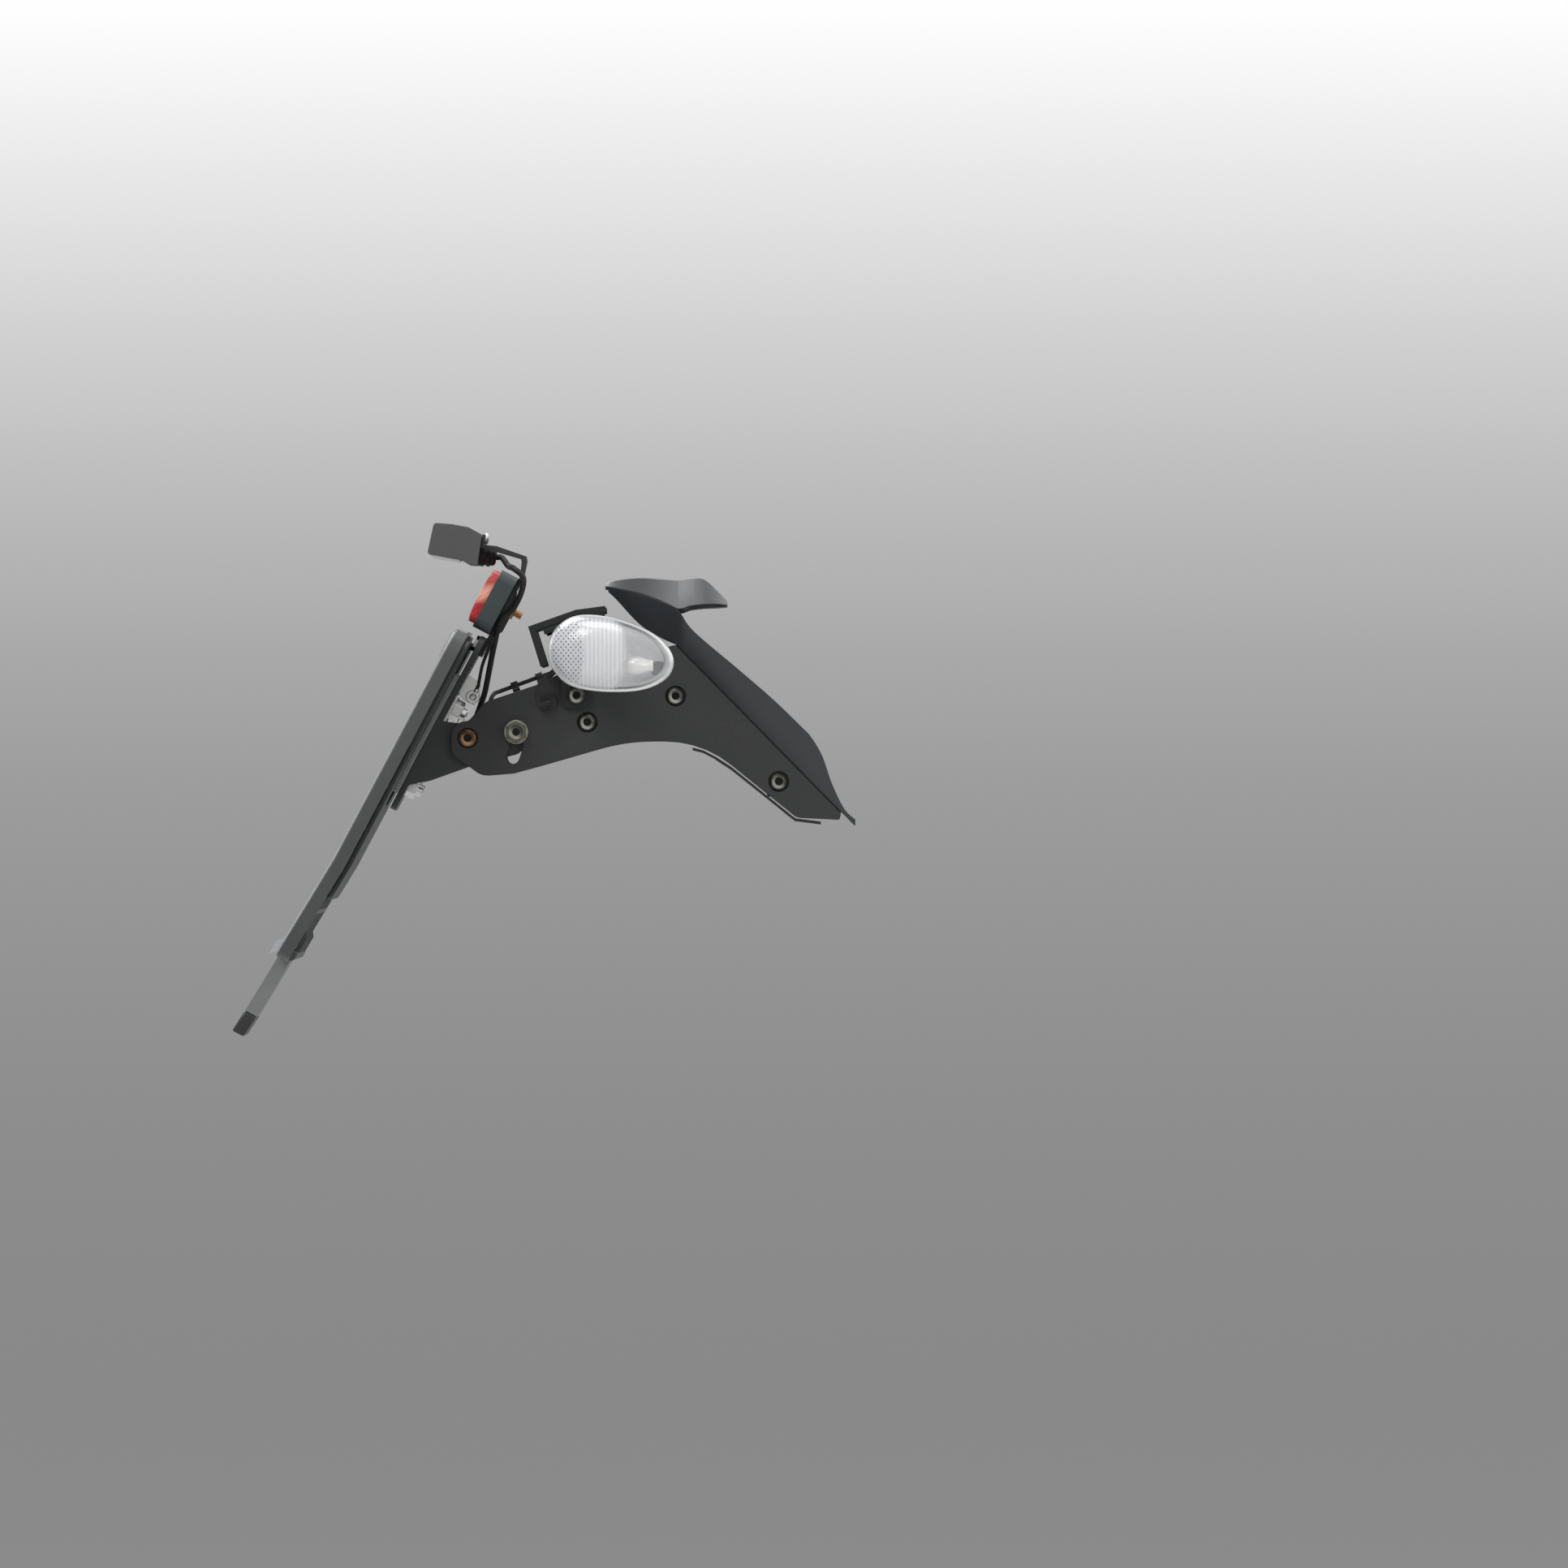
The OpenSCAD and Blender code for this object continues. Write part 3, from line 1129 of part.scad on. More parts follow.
// Number-plate lamp: a box that opens downwards, its lens, its boot and its screws
boot_r = 4.7;
boot_b = -3.6;
lamp_screw_y = 8.4;
module lamp_place() {
    translate([lamp_at[0], 0, lamp_at[1]]) rotate([0, -lamp_tilt, 0]) children();
}
lamp_outline = rounded([
    [-8.5, -6.6, 1.2], [-7.6, 6.7, 1.5], [0, 7.2, 8], [7, 6.9, 1], [12.9, 4.7, 0.5], [12.9, -8.3, 0.8],
    [9.5, -8.6, 1.5], [6.3, -7.2, 1]
]);
module lamp_housing() {
    color([0.2, 0.2, 0.2])
    carrier_place() lamp_place()
        difference() {
            along_y(-lamp_w / 2, lamp_w / 2) polygon(lamp_outline);
            translate([-6.6, -lamp_w / 2 + 2, -9]) cube([12, lamp_w - 4, 12.5]);
            translate([8.5, 0, boot_b]) rotate([0, 90, 0]) cylinder(h = 6, r = 2.2);
            for (y = [-lamp_screw_y, lamp_screw_y])
                translate([9, y, 3.4]) rotate([0, 90, 0]) cylinder(h = 6, r = 1.2);
        }
}
module lamp_lens() {
    color([0.93, 0.94, 0.95, 0.7])
    carrier_place() lamp_place()
        translate([-6.5, -lamp_w / 2 + 2.1, -7.9]) cube([11.8, lamp_w - 4.2, 2.6]);
}
module lamp_boot() {
    color([0.05, 0.05, 0.05])
    carrier_place() lamp_place() translate([12.95, 0, boot_b]) rotate([0, 90, 0])
        difference() {
            rotate_extrude() polygon([
                [0, 0], [boot_r, 0], [boot_r, 2.2], [boot_r - 0.6, 2.6], [boot_r - 0.6, 3.2],
                [boot_r - 0.2, 3.6], [boot_r - 0.8, 6.4], [boot_r - 2, 7.1], [0, 7.1]]);
            translate([0, 0, -cut]) cylinder(h = 10, r = lamp_lead_d / 2 + 0.02);
        }
}
module lamp_screws() {
    color([0.7, 0.7, 0.7])
    carrier_place() lamp_place() for (y = [-lamp_screw_y, lamp_screw_y])
        translate([14.4, y, 3.4]) rotate([0, 90, 0]) button_screw(4.6, r = 1.15, head = 2.4, h = 1.3);
}

// The lamp's lead on the carrier, drawn in the carrier's own place, and its clamp on the web
lead_y = -strap_w / 2 - lamp_lead_d / 2 - 0.5;
function lead_at(a, b, y) = let (p = lamp_point(a, b)) [p[0], y, p[1]];
lamp_lead_points = [
    lead_at(15, boot_b, 0), lead_at(18, boot_b, 0), lead_at(20.4, boot_b, 0), lead_at(22.4, boot_b, 0),
    lead_at(25.5, -6.6, -6), [-16.2, -13.2, 71.6], [-11, lead_y, 70], [-8.8, lead_y, 63.5],
    [-8.9, lead_y, 56], [-11, lead_y, 49.7], [-8.2, lead_y, 38.3], [-6, lead_y, 31], [-4, lead_y, 24.5],
    [-2.6, -13, 19.5], [-1.6, -11.5, 13], [-0.7, -8.5, 6], [-0.1, -5.5, 1], [0, -2.8, 0], [0, -0.08, 0]
];
module lamp_lead() {
    color([0.05, 0.05, 0.05]) carrier_place() cord(smooth(lamp_lead_points), lamp_lead_d, [0, 0, 1]);
}

// Earth wire beside the lead, with its eyelet on the clamp block
wire_d = 1.4;
eyelet_at = [-6.2, 16.1];
block_side = -strap_w / 2 - 4.5;
earth_points = [
    [-10.4, lead_y - 2, 42], [-9.7, lead_y - 2, 35.4], [-8.9, lead_y - 2.2, 29.6], [-7.4, block_side - 1.6, 24.6],
    [-6.4, block_side - 1.4, 21.4], [eyelet_at[0], block_side - 0.8, 19]
];
module earth_wire() {
    color([0.06, 0.06, 0.06]) carrier_place() {
        cord(smooth(earth_points), wire_d, [1, 0, 0]);
        outwards(eyelet_at, -block_side) {
            difference() {
                cylinder(h = 1, r = 2.9);
                translate([0, 0, -cut]) cylinder(h = 3, r = 1.3);
            }
            translate([-0.8, 2.2, 0]) cube([1.6, 3, 1.4]);
        }
    }
}

// Block on the web that the lead and the earth wire are fixed to
module cable_clamp() {
    color([0.35, 0.35, 0.35])
    carrier_place() difference() {
        along_y(block_side, -strap_w / 2 + 1.5) polygon([
            [web_front, 14.7], [-9, 13.2], [-4.2, 13.2], [-4.2, 18.5], [-6.6, 23], [web_front, 24]]);
        outwards(eyelet_at, -block_side) translate([0, 0, -4]) cylinder(h = 4 + cut, r = 1.2);
    }
}

side_plate_right();
side_plate_left();
mounting_bracket();
bracket_screws();
arm_nuts();
tail_cover();
under_panel();
front_spacer();
spacer_screws();
pivot_screws();
indicator_bracket_right();
indicator_bracket_left();
indicator_stem_right();
indicator_stem_left();
stem_nuts();
indicator_housing_right();
indicator_housing_left();
indicator_reflector_right();
indicator_reflector_left();
indicator_lens_right();
indicator_lens_left();
lens_gaskets();
bulb_holder_right();
bulb_holder_left();
indicator_bulb_right();
indicator_bulb_left();
indicator_lead_right();
indicator_lead_left();
cable_grommets();
loom_connector();
fixed_lead();
cable_clips();
carrier_bracket();
pivot_bushes();
lock_bolts();
lock_washers();
lock_nuts();
adapter_plate();
backing_plate();
plate_base();
plate_frame();
tail_strip();
strip_end();
holder_bolts();
holder_nuts();
clamp_strip();
upper_bracket();
upper_screws();
reflector_housing();
reflector_stud();
reflector_lens();
reflector_washer();
reflector_nut();
lamp_housing();
lamp_lens();
lamp_boot();
lamp_screws();
lamp_lead();
earth_wire();
cable_clamp();
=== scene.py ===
# %% [markdown]
# # Dressing an adjustable tail tidy
# A tail tidy carries a number plate, its lamp, a reflector and two indicators at the very back.
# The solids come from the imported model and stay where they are. This lesson gives each of them the
# finish of the real part, and lays finer surfaces over the ones whose form a plain solid can't show.

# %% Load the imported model
import json
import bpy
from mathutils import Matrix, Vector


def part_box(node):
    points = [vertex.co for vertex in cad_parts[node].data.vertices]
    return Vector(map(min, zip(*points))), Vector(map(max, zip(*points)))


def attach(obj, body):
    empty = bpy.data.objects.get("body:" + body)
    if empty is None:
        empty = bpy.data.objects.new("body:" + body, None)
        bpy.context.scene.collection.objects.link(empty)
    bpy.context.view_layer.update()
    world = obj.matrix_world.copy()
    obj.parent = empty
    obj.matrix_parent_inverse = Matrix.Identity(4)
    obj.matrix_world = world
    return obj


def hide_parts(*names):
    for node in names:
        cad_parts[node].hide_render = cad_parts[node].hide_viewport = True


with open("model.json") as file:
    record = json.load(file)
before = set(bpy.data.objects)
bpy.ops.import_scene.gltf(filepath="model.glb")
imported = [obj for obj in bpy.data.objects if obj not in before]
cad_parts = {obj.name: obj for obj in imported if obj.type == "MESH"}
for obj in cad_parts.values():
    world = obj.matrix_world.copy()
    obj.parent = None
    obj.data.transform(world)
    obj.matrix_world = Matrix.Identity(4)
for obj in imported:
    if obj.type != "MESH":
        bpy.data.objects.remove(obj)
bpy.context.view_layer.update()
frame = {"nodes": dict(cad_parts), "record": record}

# %% [markdown]
# ## Camera
# The view is square on to the part's right side. A long lens far away keeps the two side plates over
# each other. The photograph's scale sets the lens: its frame is 0.657 m wide where the part stands.

# %% Camera
import bpy
import bmesh
import numpy as np
from functools import reduce
from math import radians, pi

scene = bpy.context.scene
FRAME_PIXELS, METRES_PER_PIXEL = 1932, 0.00034
WIDTH = FRAME_PIXELS * METRES_PER_PIXEL
DISTANCE, SENSOR = 9.0, 36
FRAME_MIDDLE = (0.0422, -0.0462)
camera_data = bpy.data.cameras.new("side_camera")
camera_data.sensor_width = SENSOR
camera_data.lens = SENSOR * DISTANCE / WIDTH
camera_data.clip_end = 400
camera = bpy.data.objects.new("side_camera", camera_data)
camera.location = (FRAME_MIDDLE[0], -DISTANCE, FRAME_MIDDLE[1])
camera.rotation_euler = (radians(90), 0, 0)
scene.collection.objects.link(camera)
scene.camera = camera
scene.view_settings.view_transform = "Standard"
print("lens:", round(camera_data.lens, 1), "mm")

# %% [markdown]
# ## A small language for materials
# A material is a net of nodes. Written as Python sums, the net reads like the idea behind it, so one
# small class wraps an output and gives it plus, minus, times and the rest. Any other node comes from
# the method `node`, which takes the kind, the settings and the values of its sockets.

# %% Wires and boards
class Wire:
    """One output of a node. Sums, products and powers with it add Math nodes to its board."""

    def __init__(self, board, socket):
        self.board, self.socket = board, socket

    def math(self, operation, *values):
        return self.board.node("Math", {"operation": operation}, dict(enumerate(values)))

    def __add__(self, other): return self.math("ADD", self, other)
    def __radd__(self, other): return self.math("ADD", other, self)
    def __sub__(self, other): return self.math("SUBTRACT", self, other)
    def __rsub__(self, other): return self.math("SUBTRACT", other, self)
    def __mul__(self, other): return self.math("MULTIPLY", self, other)
    def __rmul__(self, other): return self.math("MULTIPLY", other, self)
    def __truediv__(self, other): return self.math("DIVIDE", self, other)
    def __rtruediv__(self, other): return self.math("DIVIDE", other, self)
    def __pow__(self, other): return self.math("POWER", self, other)

    def least(self, other): return self.math("MINIMUM", self, other)
    def most(self, other): return self.math("MAXIMUM", self, other)

    def wave(self):
        """0 at whole numbers, rising straight to 1 at the halves between them."""
        return self.math("PINGPONG", self, 0.5) * 2

    def ramp(self, low, high):
        """0 up to low, 1 from high on, smooth between them."""
        return self.board.node("MapRange", {"interpolation_type": "SMOOTHSTEP"},
                               {"Value": self, "From Min": low, "From Max": high})


class Board:
    """The nodes of one material, or of the world."""

    def __init__(self, tree, fresh=True):
        self.tree = tree
        if fresh:
            tree.nodes.clear()

    def node(self, kind, settings=None, values=None, out=0):
        """One node: its settings first, then the values or links of its sockets."""
        made = self.tree.nodes.new("ShaderNode" + kind)
        for name, value in (settings or {}).items():
            if name == "stops":
                stops = made.color_ramp.elements
                while len(stops) < len(value):
                    stops.new(0.5)
                for stop, (place, colour) in zip(stops, value):
                    stop.position, stop.color = place, (*colour, 1)
            else:
                setattr(made, name, value)
        for name, value in (values or {}).items():
            if isinstance(value, Wire):
                self.tree.links.new(value.socket, made.inputs[name])
            else:
                made.inputs[name].default_value = value
        return Wire(self, made.outputs[out]) if made.outputs else None

    def place(self):
        """The point on the object, in metres of the shared frame."""
        return self.node("TexCoord", out="Object")

    def axes(self, point):
        """The three parts of a vector."""
        split = self.node("SeparateXYZ", values={0: point}).socket.node
        return [Wire(self, split.outputs[i]) for i in range(3)]

    def blend(self, factor, low, high):
        """The colour low where factor is 0, and high where it is 1."""
        low, high = [c if isinstance(c, Wire) else (*c, 1) for c in (low, high)]
        return self.node("Mix", {"data_type": "RGBA"}, {0: factor, 6: low, 7: high}, out=2)

    def noise(self, point, scale, detail=3.0, rough=0.55):
        """A cloudy value between 0 and 1, with about scale patches in a metre."""
        return self.node("TexNoise", values={"Vector": point, "Scale": scale, "Detail": detail,
                                             "Roughness": rough})

    def stretched(self, point, scale):
        """The point with each part multiplied, so that a pattern on it is drawn out."""
        return self.node("Mapping", values={"Vector": point, "Scale": scale})


print("the boards are ready")

# %% [markdown]
# ## Surroundings
# The photograph has a plain studio background that goes from mid grey at the bottom to white at the
# top. A wide floor gives the lower half and the world the upper half. Both show that grey to the
# camera and to mirrors only, so they don't change how brightly the part is lit.

# %% World
world = bpy.data.worlds.new("studio")
scene.world = world
world.use_nodes = True
sky = Board(world.node_tree)
half_frame = WIDTH / DISTANCE / 2
height = sky.axes(sky.node("TexCoord", out="Generated"))[2] / half_frame
UNDER = 0.1
SKY = [(0.0, 0.316), (0.091, 0.337), (0.247, 0.397), (0.435, 0.503), (0.624, 0.645), (0.812, 0.82),
       (0.982, 0.99)]
shade = sky.node("ValToRGB", {"stops": [(p, (g, g, g)) for p, g in SKY]},
                 {"Fac": (height + UNDER) / (1 + UNDER)})


def mirrors_too(board):
    """1 for rays from the camera, from a mirror or through glass, 0 for the rays that light things."""
    path = board.node("LightPath").socket.node
    camera_ray, mirror, glass = [Wire(board, path.outputs["Is " + kind + " Ray"])
                                 for kind in ("Camera", "Glossy", "Transmission")]
    return camera_ray.most(mirror).most(glass)


glow = sky.node("Background", values={"Color": shade, "Strength": 1.0})
fill = sky.node("Background", values={"Color": (0.97, 0.985, 1.0, 1), "Strength": 0.45})
seen = sky.node("MixShader", values={0: mirrors_too(sky), 1: fill, 2: glow})
sky.node("OutputWorld", values={"Surface": seen})
print("greys of the world:", len(SKY))

# %% Floor
FLOOR, COLUMNS = -0.45, 96
angle = np.linspace(0, 2 * pi, COLUMNS, endpoint=False)
radius = np.array([0.4, 1.0, 2.0, 5.0, 20.0, 380.0])[:, None]
rings = np.stack([radius * np.cos(angle), radius * np.sin(angle),
                  np.full((len(radius), COLUMNS), FLOOR)], axis=-1)


def grid_quads(rows, columns):
    """Four corners for each cell of a grid whose points are numbered row by row. Its last column meets
    its first."""
    r, c = np.meshgrid(np.arange(rows - 1), np.arange(columns), indexing="ij")
    n = (c + 1) % columns
    return np.stack([r * columns + c, r * columns + n, (r + 1) * columns + n, (r + 1) * columns + c],
                    axis=-1).reshape(-1, 4)


floor_mesh = bpy.data.meshes.new("studio_floor")
floor_faces = grid_quads(len(radius), COLUMNS).tolist() + [list(range(COLUMNS))]
floor_mesh.from_pydata(rings.reshape(-1, 3).tolist(), [], floor_faces)
studio_floor = bpy.data.objects.new("studio_floor", floor_mesh)
scene.collection.objects.link(studio_floor)

floor_paint = bpy.data.materials.new("floor_paint")
floor_paint.use_nodes = True
board = Board(floor_paint.node_tree)
away = board.node("VectorMath", {"operation": "LENGTH"}, {0: board.place()}, out="Value")
# The far floor carries the sky's greys on: below is 0 at the horizon and 1 at the frame's lower edge,
# and the grey is a parabola in it.
LOWER_EDGE, GREYS = 11.06, (0.337, 0.22, 0.141)
below = LOWER_EDGE / (away + DISTANCE)
grey = GREYS[0] - below * GREYS[1] + below * below * GREYS[2]
far = board.node("Emission", values={"Color": board.node("CombineColor", values={0: grey, 1: grey, 2: grey}),
                                     "Strength": 1.0})
close = board.node("BsdfPrincipled", values={
    "Base Color": board.blend(board.noise(board.place(), 3.0), (0.6, 0.6, 0.6), (0.64, 0.64, 0.64)),
    "Roughness": 0.85})
paint = board.node("MixShader", values={0: away.ramp(0.9, 1.8) * mirrors_too(board), 1: close, 2: far})
board.node("OutputMaterial", values={"Surface": paint})
floor_mesh.materials.append(floor_paint)
print("floor at", FLOOR, "m")

# %% [markdown]
# ## Lamps
# Soft boxes above on both sides, one over the part and a low one in front keep the shadows open, as in
# a catalogue picture. Their strength is set so that a surface comes out about as bright as its colour
# says.

# %% Lamps
PART_MIDDLE = np.array([-0.02, 0.0, -0.03])


def soft_box(name, at, size, watts):
    """A square lamp at a point, turned towards the middle of the part."""
    data = bpy.data.lights.new(name, "AREA")
    data.size, data.energy = size, watts
    lamp = bpy.data.objects.new(name, data)
    lamp.location = at
    aim = PART_MIDDLE - np.array(at)
    lamp.rotation_euler = (np.arctan2(np.hypot(aim[0], aim[1]), -aim[2]), 0,
                           np.arctan2(aim[0], -aim[1]) + pi)
    scene.collection.objects.link(lamp)


soft_box("key_box", (-1.1, -1.7, 1.9), 1.5, 36)
soft_box("fill_box", (1.7, -1.9, 0.5), 1.6, 14)
soft_box("rear_box", (-1.0, 2.0, 1.6), 1.5, 30)
soft_box("top_box", (0.2, 0.1, 2.4), 1.6, 26)

# %% [markdown]
# ## Finishes
# Every finish starts from one recipe: a colour that drifts a little over the part, a roughness that
# drifts with it, a fine grain as bumps, and edges that are rubbed brighter. The edge is found with a
# Bevel node: where its rounded normal leaves the face's own normal, the surface is close to an edge.

# %% The common recipe
finishes = {}
# Patches in a metre of the cloudy drift and of the rubbed edges, and how far the clouds and the grain
# move the roughness.
CLOUDS, RUBS = 55.0, 420.0
CLOUDY, GRAINY = 0.16, 0.12


def finish(name, base, rough, grain=None, drift=0.12, edge=0.0, edge_colour=None, edge_round=0.0005,
           metal=0.0, coat=0.0, sheen=0.0, specular=0.5, streaks=None, bump=0.15, alter=None):
    """A material. grain is the size of its bumps in metres, streaks stretches them, and an edge is rubbed
    where 1 - rounded normal . face normal grows. alter may change the colour, the roughness and the
    height before they are joined up."""
    made = bpy.data.materials.new(name)
    made.use_nodes = True
    b = Board(made.node_tree)
    point = b.place()
    cloud = b.noise(point, CLOUDS, 2.0)
    base = np.array(base)
    colour = b.blend(cloud, tuple(base * (1 - drift)), tuple(base * (1 + drift)))
    roughness = rough + (cloud - 0.5) * CLOUDY
    height = 0.0
    if grain:
        height = b.noise(b.stretched(point, streaks) if streaks else point, 1.0 / grain, 2.0, 0.6)
        roughness = roughness + (height - 0.5) * GRAINY
    rounded = b.node("Bevel", {"samples": 4}, {"Radius": edge_round})
    if edge:
        facing = b.node("VectorMath", {"operation": "DOT_PRODUCT"},
                        {0: rounded, 1: b.node("NewGeometry", out="Normal")}, out="Value")
        rubbed = (1.0 - facing).ramp(0.02, 0.3) * b.noise(point, RUBS).ramp(0.3, 0.75) * edge
        colour = b.blend(rubbed, colour, edge_colour or tuple(base * 2.6 + 0.03))
    if alter:
        colour, roughness, height = alter(b, point, colour, roughness, height)
    normal = b.node("Bump", values={"Strength": bump, "Distance": (grain or 0.0005) * 0.6, "Height": height,
                                    "Normal": rounded})
    values = {"Base Color": colour, "Roughness": roughness, "Normal": normal, "Metallic": metal,
              "Coat Weight": coat, "Specular IOR Level": specular, "Sheen Weight": sheen}
    b.node("OutputMaterial", values={"Surface": b.node("BsdfPrincipled", values=values)})
    finishes[name] = made


print("one recipe, with room for changes")

# %% [markdown]
# ## Black metal, moulded plastic and rubber
# The side plates are powder coated: nearly black, quite rough, with a fine orange-peel grain. The
# cover and the holder are moulded, with a finer grain and a soft sheen that shows the form. Rubber is
# darker and duller still. Their colours differ by a few hundredths, which the eye reads as depth.

# %% Dark finishes
finish("powder_coat", (0.0235, 0.0248, 0.0240), 0.56, grain=0.00035, edge=0.5, bump=0.22, specular=0.4)
finish("satin_coat", (0.022, 0.024, 0.0235), 0.42, grain=0.0004, edge=0.45, bump=0.16, specular=0.45)
finish("moulded_grain", (0.030, 0.034, 0.038), 0.44, grain=0.0005, drift=0.06, edge=0.12, bump=0.14)
finish("holder_plastic", (0.050, 0.053, 0.053), 0.44, grain=0.0006, edge=0.3, bump=0.14)
finish("black_plastic", (0.016, 0.016, 0.016), 0.4, grain=0.0004, edge=0.2, bump=0.12, specular=0.45)
finish("slate_plastic", (0.030, 0.042, 0.042), 0.4, grain=0.0005, edge=0.2, bump=0.1)
finish("near_black", (0.010, 0.011, 0.0108), 0.5, grain=0.0004, edge=0.35, bump=0.12, specular=0.35,
       edge_colour=(0.06, 0.062, 0.062))
finish("lamp_grey", (0.066, 0.066, 0.066), 0.5, grain=0.0005, edge=0.3, bump=0.12)
finish("rubber", (0.012, 0.012, 0.012), 0.62, grain=0.0005, bump=0.2, specular=0.35, sheen=0.15)
print("dark finishes:", len(finishes))

# %% [markdown]
# ## Metals and light trim
# Stainless screws are turned, so their grain runs round them; the hex heads and counterbored screws
# are zinc plated with an olive passivation. The pivot screw and the reflector's washer are bronze. The
# holder's grey layer and light trim are satin and get no metal at all, because thin mirrors only
# speckle. The bowl of an indicator is a chrome mirror whose bright reflections are painted as a nearly
# white colour with little metal, so that it looks bright from every side.

# %% Metals and light trim
finish("stainless", (0.62, 0.62, 0.61), 0.3, grain=0.0003, streaks=(1, 5, 1), metal=1.0, bump=0.12,
       drift=0.05)
finish("olive_zinc", (0.30, 0.30, 0.235), 0.42, grain=0.0004, metal=0.9, bump=0.2, drift=0.25)
finish("bronze", (0.36, 0.19, 0.08), 0.4, grain=0.0004, metal=0.9, bump=0.2, drift=0.25)
finish("layer_grey", (0.15, 0.155, 0.155), 0.5, grain=0.0008, edge=0.15, bump=0.06)
finish("bright_trim", (0.42, 0.43, 0.44), 0.34, drift=0.05, coat=0.4)
# Painted reflection: the chrome bowl's bright reflections as a nearly white colour.
finish("mirror_bowl", (0.97, 0.975, 0.98), 0.18, metal=0.15, drift=0.01, bump=0.05)
print("finishes so far:", sorted(finishes))

# %% [markdown]
# ## Screw heads
# Seen from the side, a socket screw in its counterbore is a set of rings: the socket, a turned ring and the
# rim. Colour alone gives that over a plain head, and most of it is painted light and shade: the socket is
# painted black as the shade inside it, the rim is painted dark as the counterbore's shade, and the ring is
# painted dark with a painted highlight on its lower rear side. The material measures how far a point lies
# from the nearest screw's axis and picks the ring that it falls in.

# %% Screw heads
SOCKET_EDGE, RING_EDGE, LIT_EDGE = (0.0015, 0.00175), (0.00285, 0.0031), (0.004, 0.005)
# The socket's black is painted shade.
SOCKET_PAINTED_SHADE = (0.012, 0.012, 0.012)


def ringed(centres, ring_colour, rim_painted_shade):
    """Round each screw's axis: a socket painted black as shade, a turned ring painted dark as shade with a
    painted highlight on its lower rear side, then the rim's colour, painted dark as the counterbore's shade.
    The distance to the nearest axis is the least of the square roots of
    dx * dx + dz * dz."""
    def alter(b, point, colour, roughness, height):
        x, y, z = b.axes(point)
        steps = [(x - cx / 1000, z - cz / 1000) for cx, cz in centres]
        away = [(dx * dx + dz * dz) ** 0.5 for dx, dz in steps]
        r = reduce(Wire.least, away)
        # Painted highlight on the lower rear side of each head's ring.
        painted_highlight_side = reduce(Wire.most, [
            (dx * -0.6 + dz * -0.8).ramp(-0.0012, 0.002) * (1.0 - near.ramp(*LIT_EDGE))
            for (dx, dz), near in zip(steps, away)])
        # The ring is painted dark as shade at 0.22 of its colour, and in its own colour where the highlight
        # is painted.
        ring = b.blend(painted_highlight_side, tuple(0.22 * np.array(ring_colour)), ring_colour)
        # The rim's colour is painted dark as the counterbore's shade, and the socket is painted black as its
        # shade.
        colour = b.blend(r.ramp(*RING_EDGE), ring, rim_painted_shade)
        return b.blend(r.ramp(*SOCKET_EDGE), SOCKET_PAINTED_SHADE, colour), roughness, height
    return alter


# Each head: its axes in x and z, in millimetres, then the colours of its ring and its rim; the rim's colour
# is painted shade.
OLIVE_HEADS = {
    "bracket_heads": ([(-40, -20.4), (-3.1, -9.5), (-44.5, -9.2)], (0.42, 0.42, 0.38), (0.05, 0.05, 0.042)),
    "spacer_heads": ([(40, -45.2)], (0.34, 0.34, 0.29), (0.055, 0.055, 0.046)),
    "lock_heads": ([(-69.65, -24.5)], (0.36, 0.36, 0.30), (0.11, 0.11, 0.085)),
}
for name, rings_of_head in OLIVE_HEADS.items():
    finish(name, (0.3, 0.3, 0.24), 0.36, grain=0.0004, metal=0.75, bump=0.12, alter=ringed(*rings_of_head))
finish("pivot_heads", (0.36, 0.19, 0.08), 0.4, grain=0.0004, metal=0.8, bump=0.15,
       alter=ringed([(-90, -27)], (0.42, 0.24, 0.13), (0.30, 0.15, 0.07)))
print("painted heads:", len(OLIVE_HEADS) + 1)

# %% [markdown]
# ## Which node gets which finish
# The record gives each node a slot. Each slot takes one finish here, and a few nodes differ.

# %% Assign the finishes
SLOT_FINISH = {
    "plates_black": "powder_coat", "cover_black": "moulded_grain", "bracket_black": "satin_coat",
    "holder_grey": "holder_plastic", "layer_grey": "layer_grey", "bright_frame": "bright_trim",
    "steel": "stainless", "dark_steel": "olive_zinc", "bronze": "bronze", "rubber_black": "rubber",
    "plastic_black": "black_plastic", "clear_lens": "mirror_bowl", "red_lens": "slate_plastic",
    "bulb": "mirror_bowl", "bright_bowl": "mirror_bowl",
}
node_slot = {row["node"]: row["material_slot"] for row in frame["record"]["subparts"]}


def dress(obj, name):
    """Every material slot of the object takes the named finish."""
    if not obj.material_slots:
        obj.data.materials.append(finishes[name])
    for place in obj.material_slots:
        place.material = finishes[name]


for node, obj in frame["nodes"].items():
    dress(obj, SLOT_FINISH[node_slot[node]])
OWN_FINISH = {"reflector_housing": "slate_plastic", "bracket_screws": "bracket_heads",
              "spacer_screws": "spacer_heads", "lock_bolts": "lock_heads", "pivot_screws": "pivot_heads"}
for node, name in OWN_FINISH.items():
    dress(frame["nodes"][node], name)
print("dressed:", len(frame["nodes"]))

# %% [markdown]
# ## Sizes that the surfaces share
# New surfaces are worked out in millimetres in the shared frame, and turned into metres at the end.
# The carrier is drawn upright about its pivot and then leaned, as the real one is.

# %% Places
LEAN = radians(28.0)
PIVOT = np.array([-90.0, 0.0, -27.0])


def leaned(points):
    """Points of the upright carrier, turned by the lean about the pivot and moved to it."""
    p = np.asarray(points, float)
    x, y, z = p[..., 0], p[..., 1], p[..., 2]
    return np.stack([PIVOT[0] + x * np.cos(LEAN) + z * np.sin(LEAN), y,
                     PIVOT[2] - x * np.sin(LEAN) + z * np.cos(LEAN)], axis=-1)


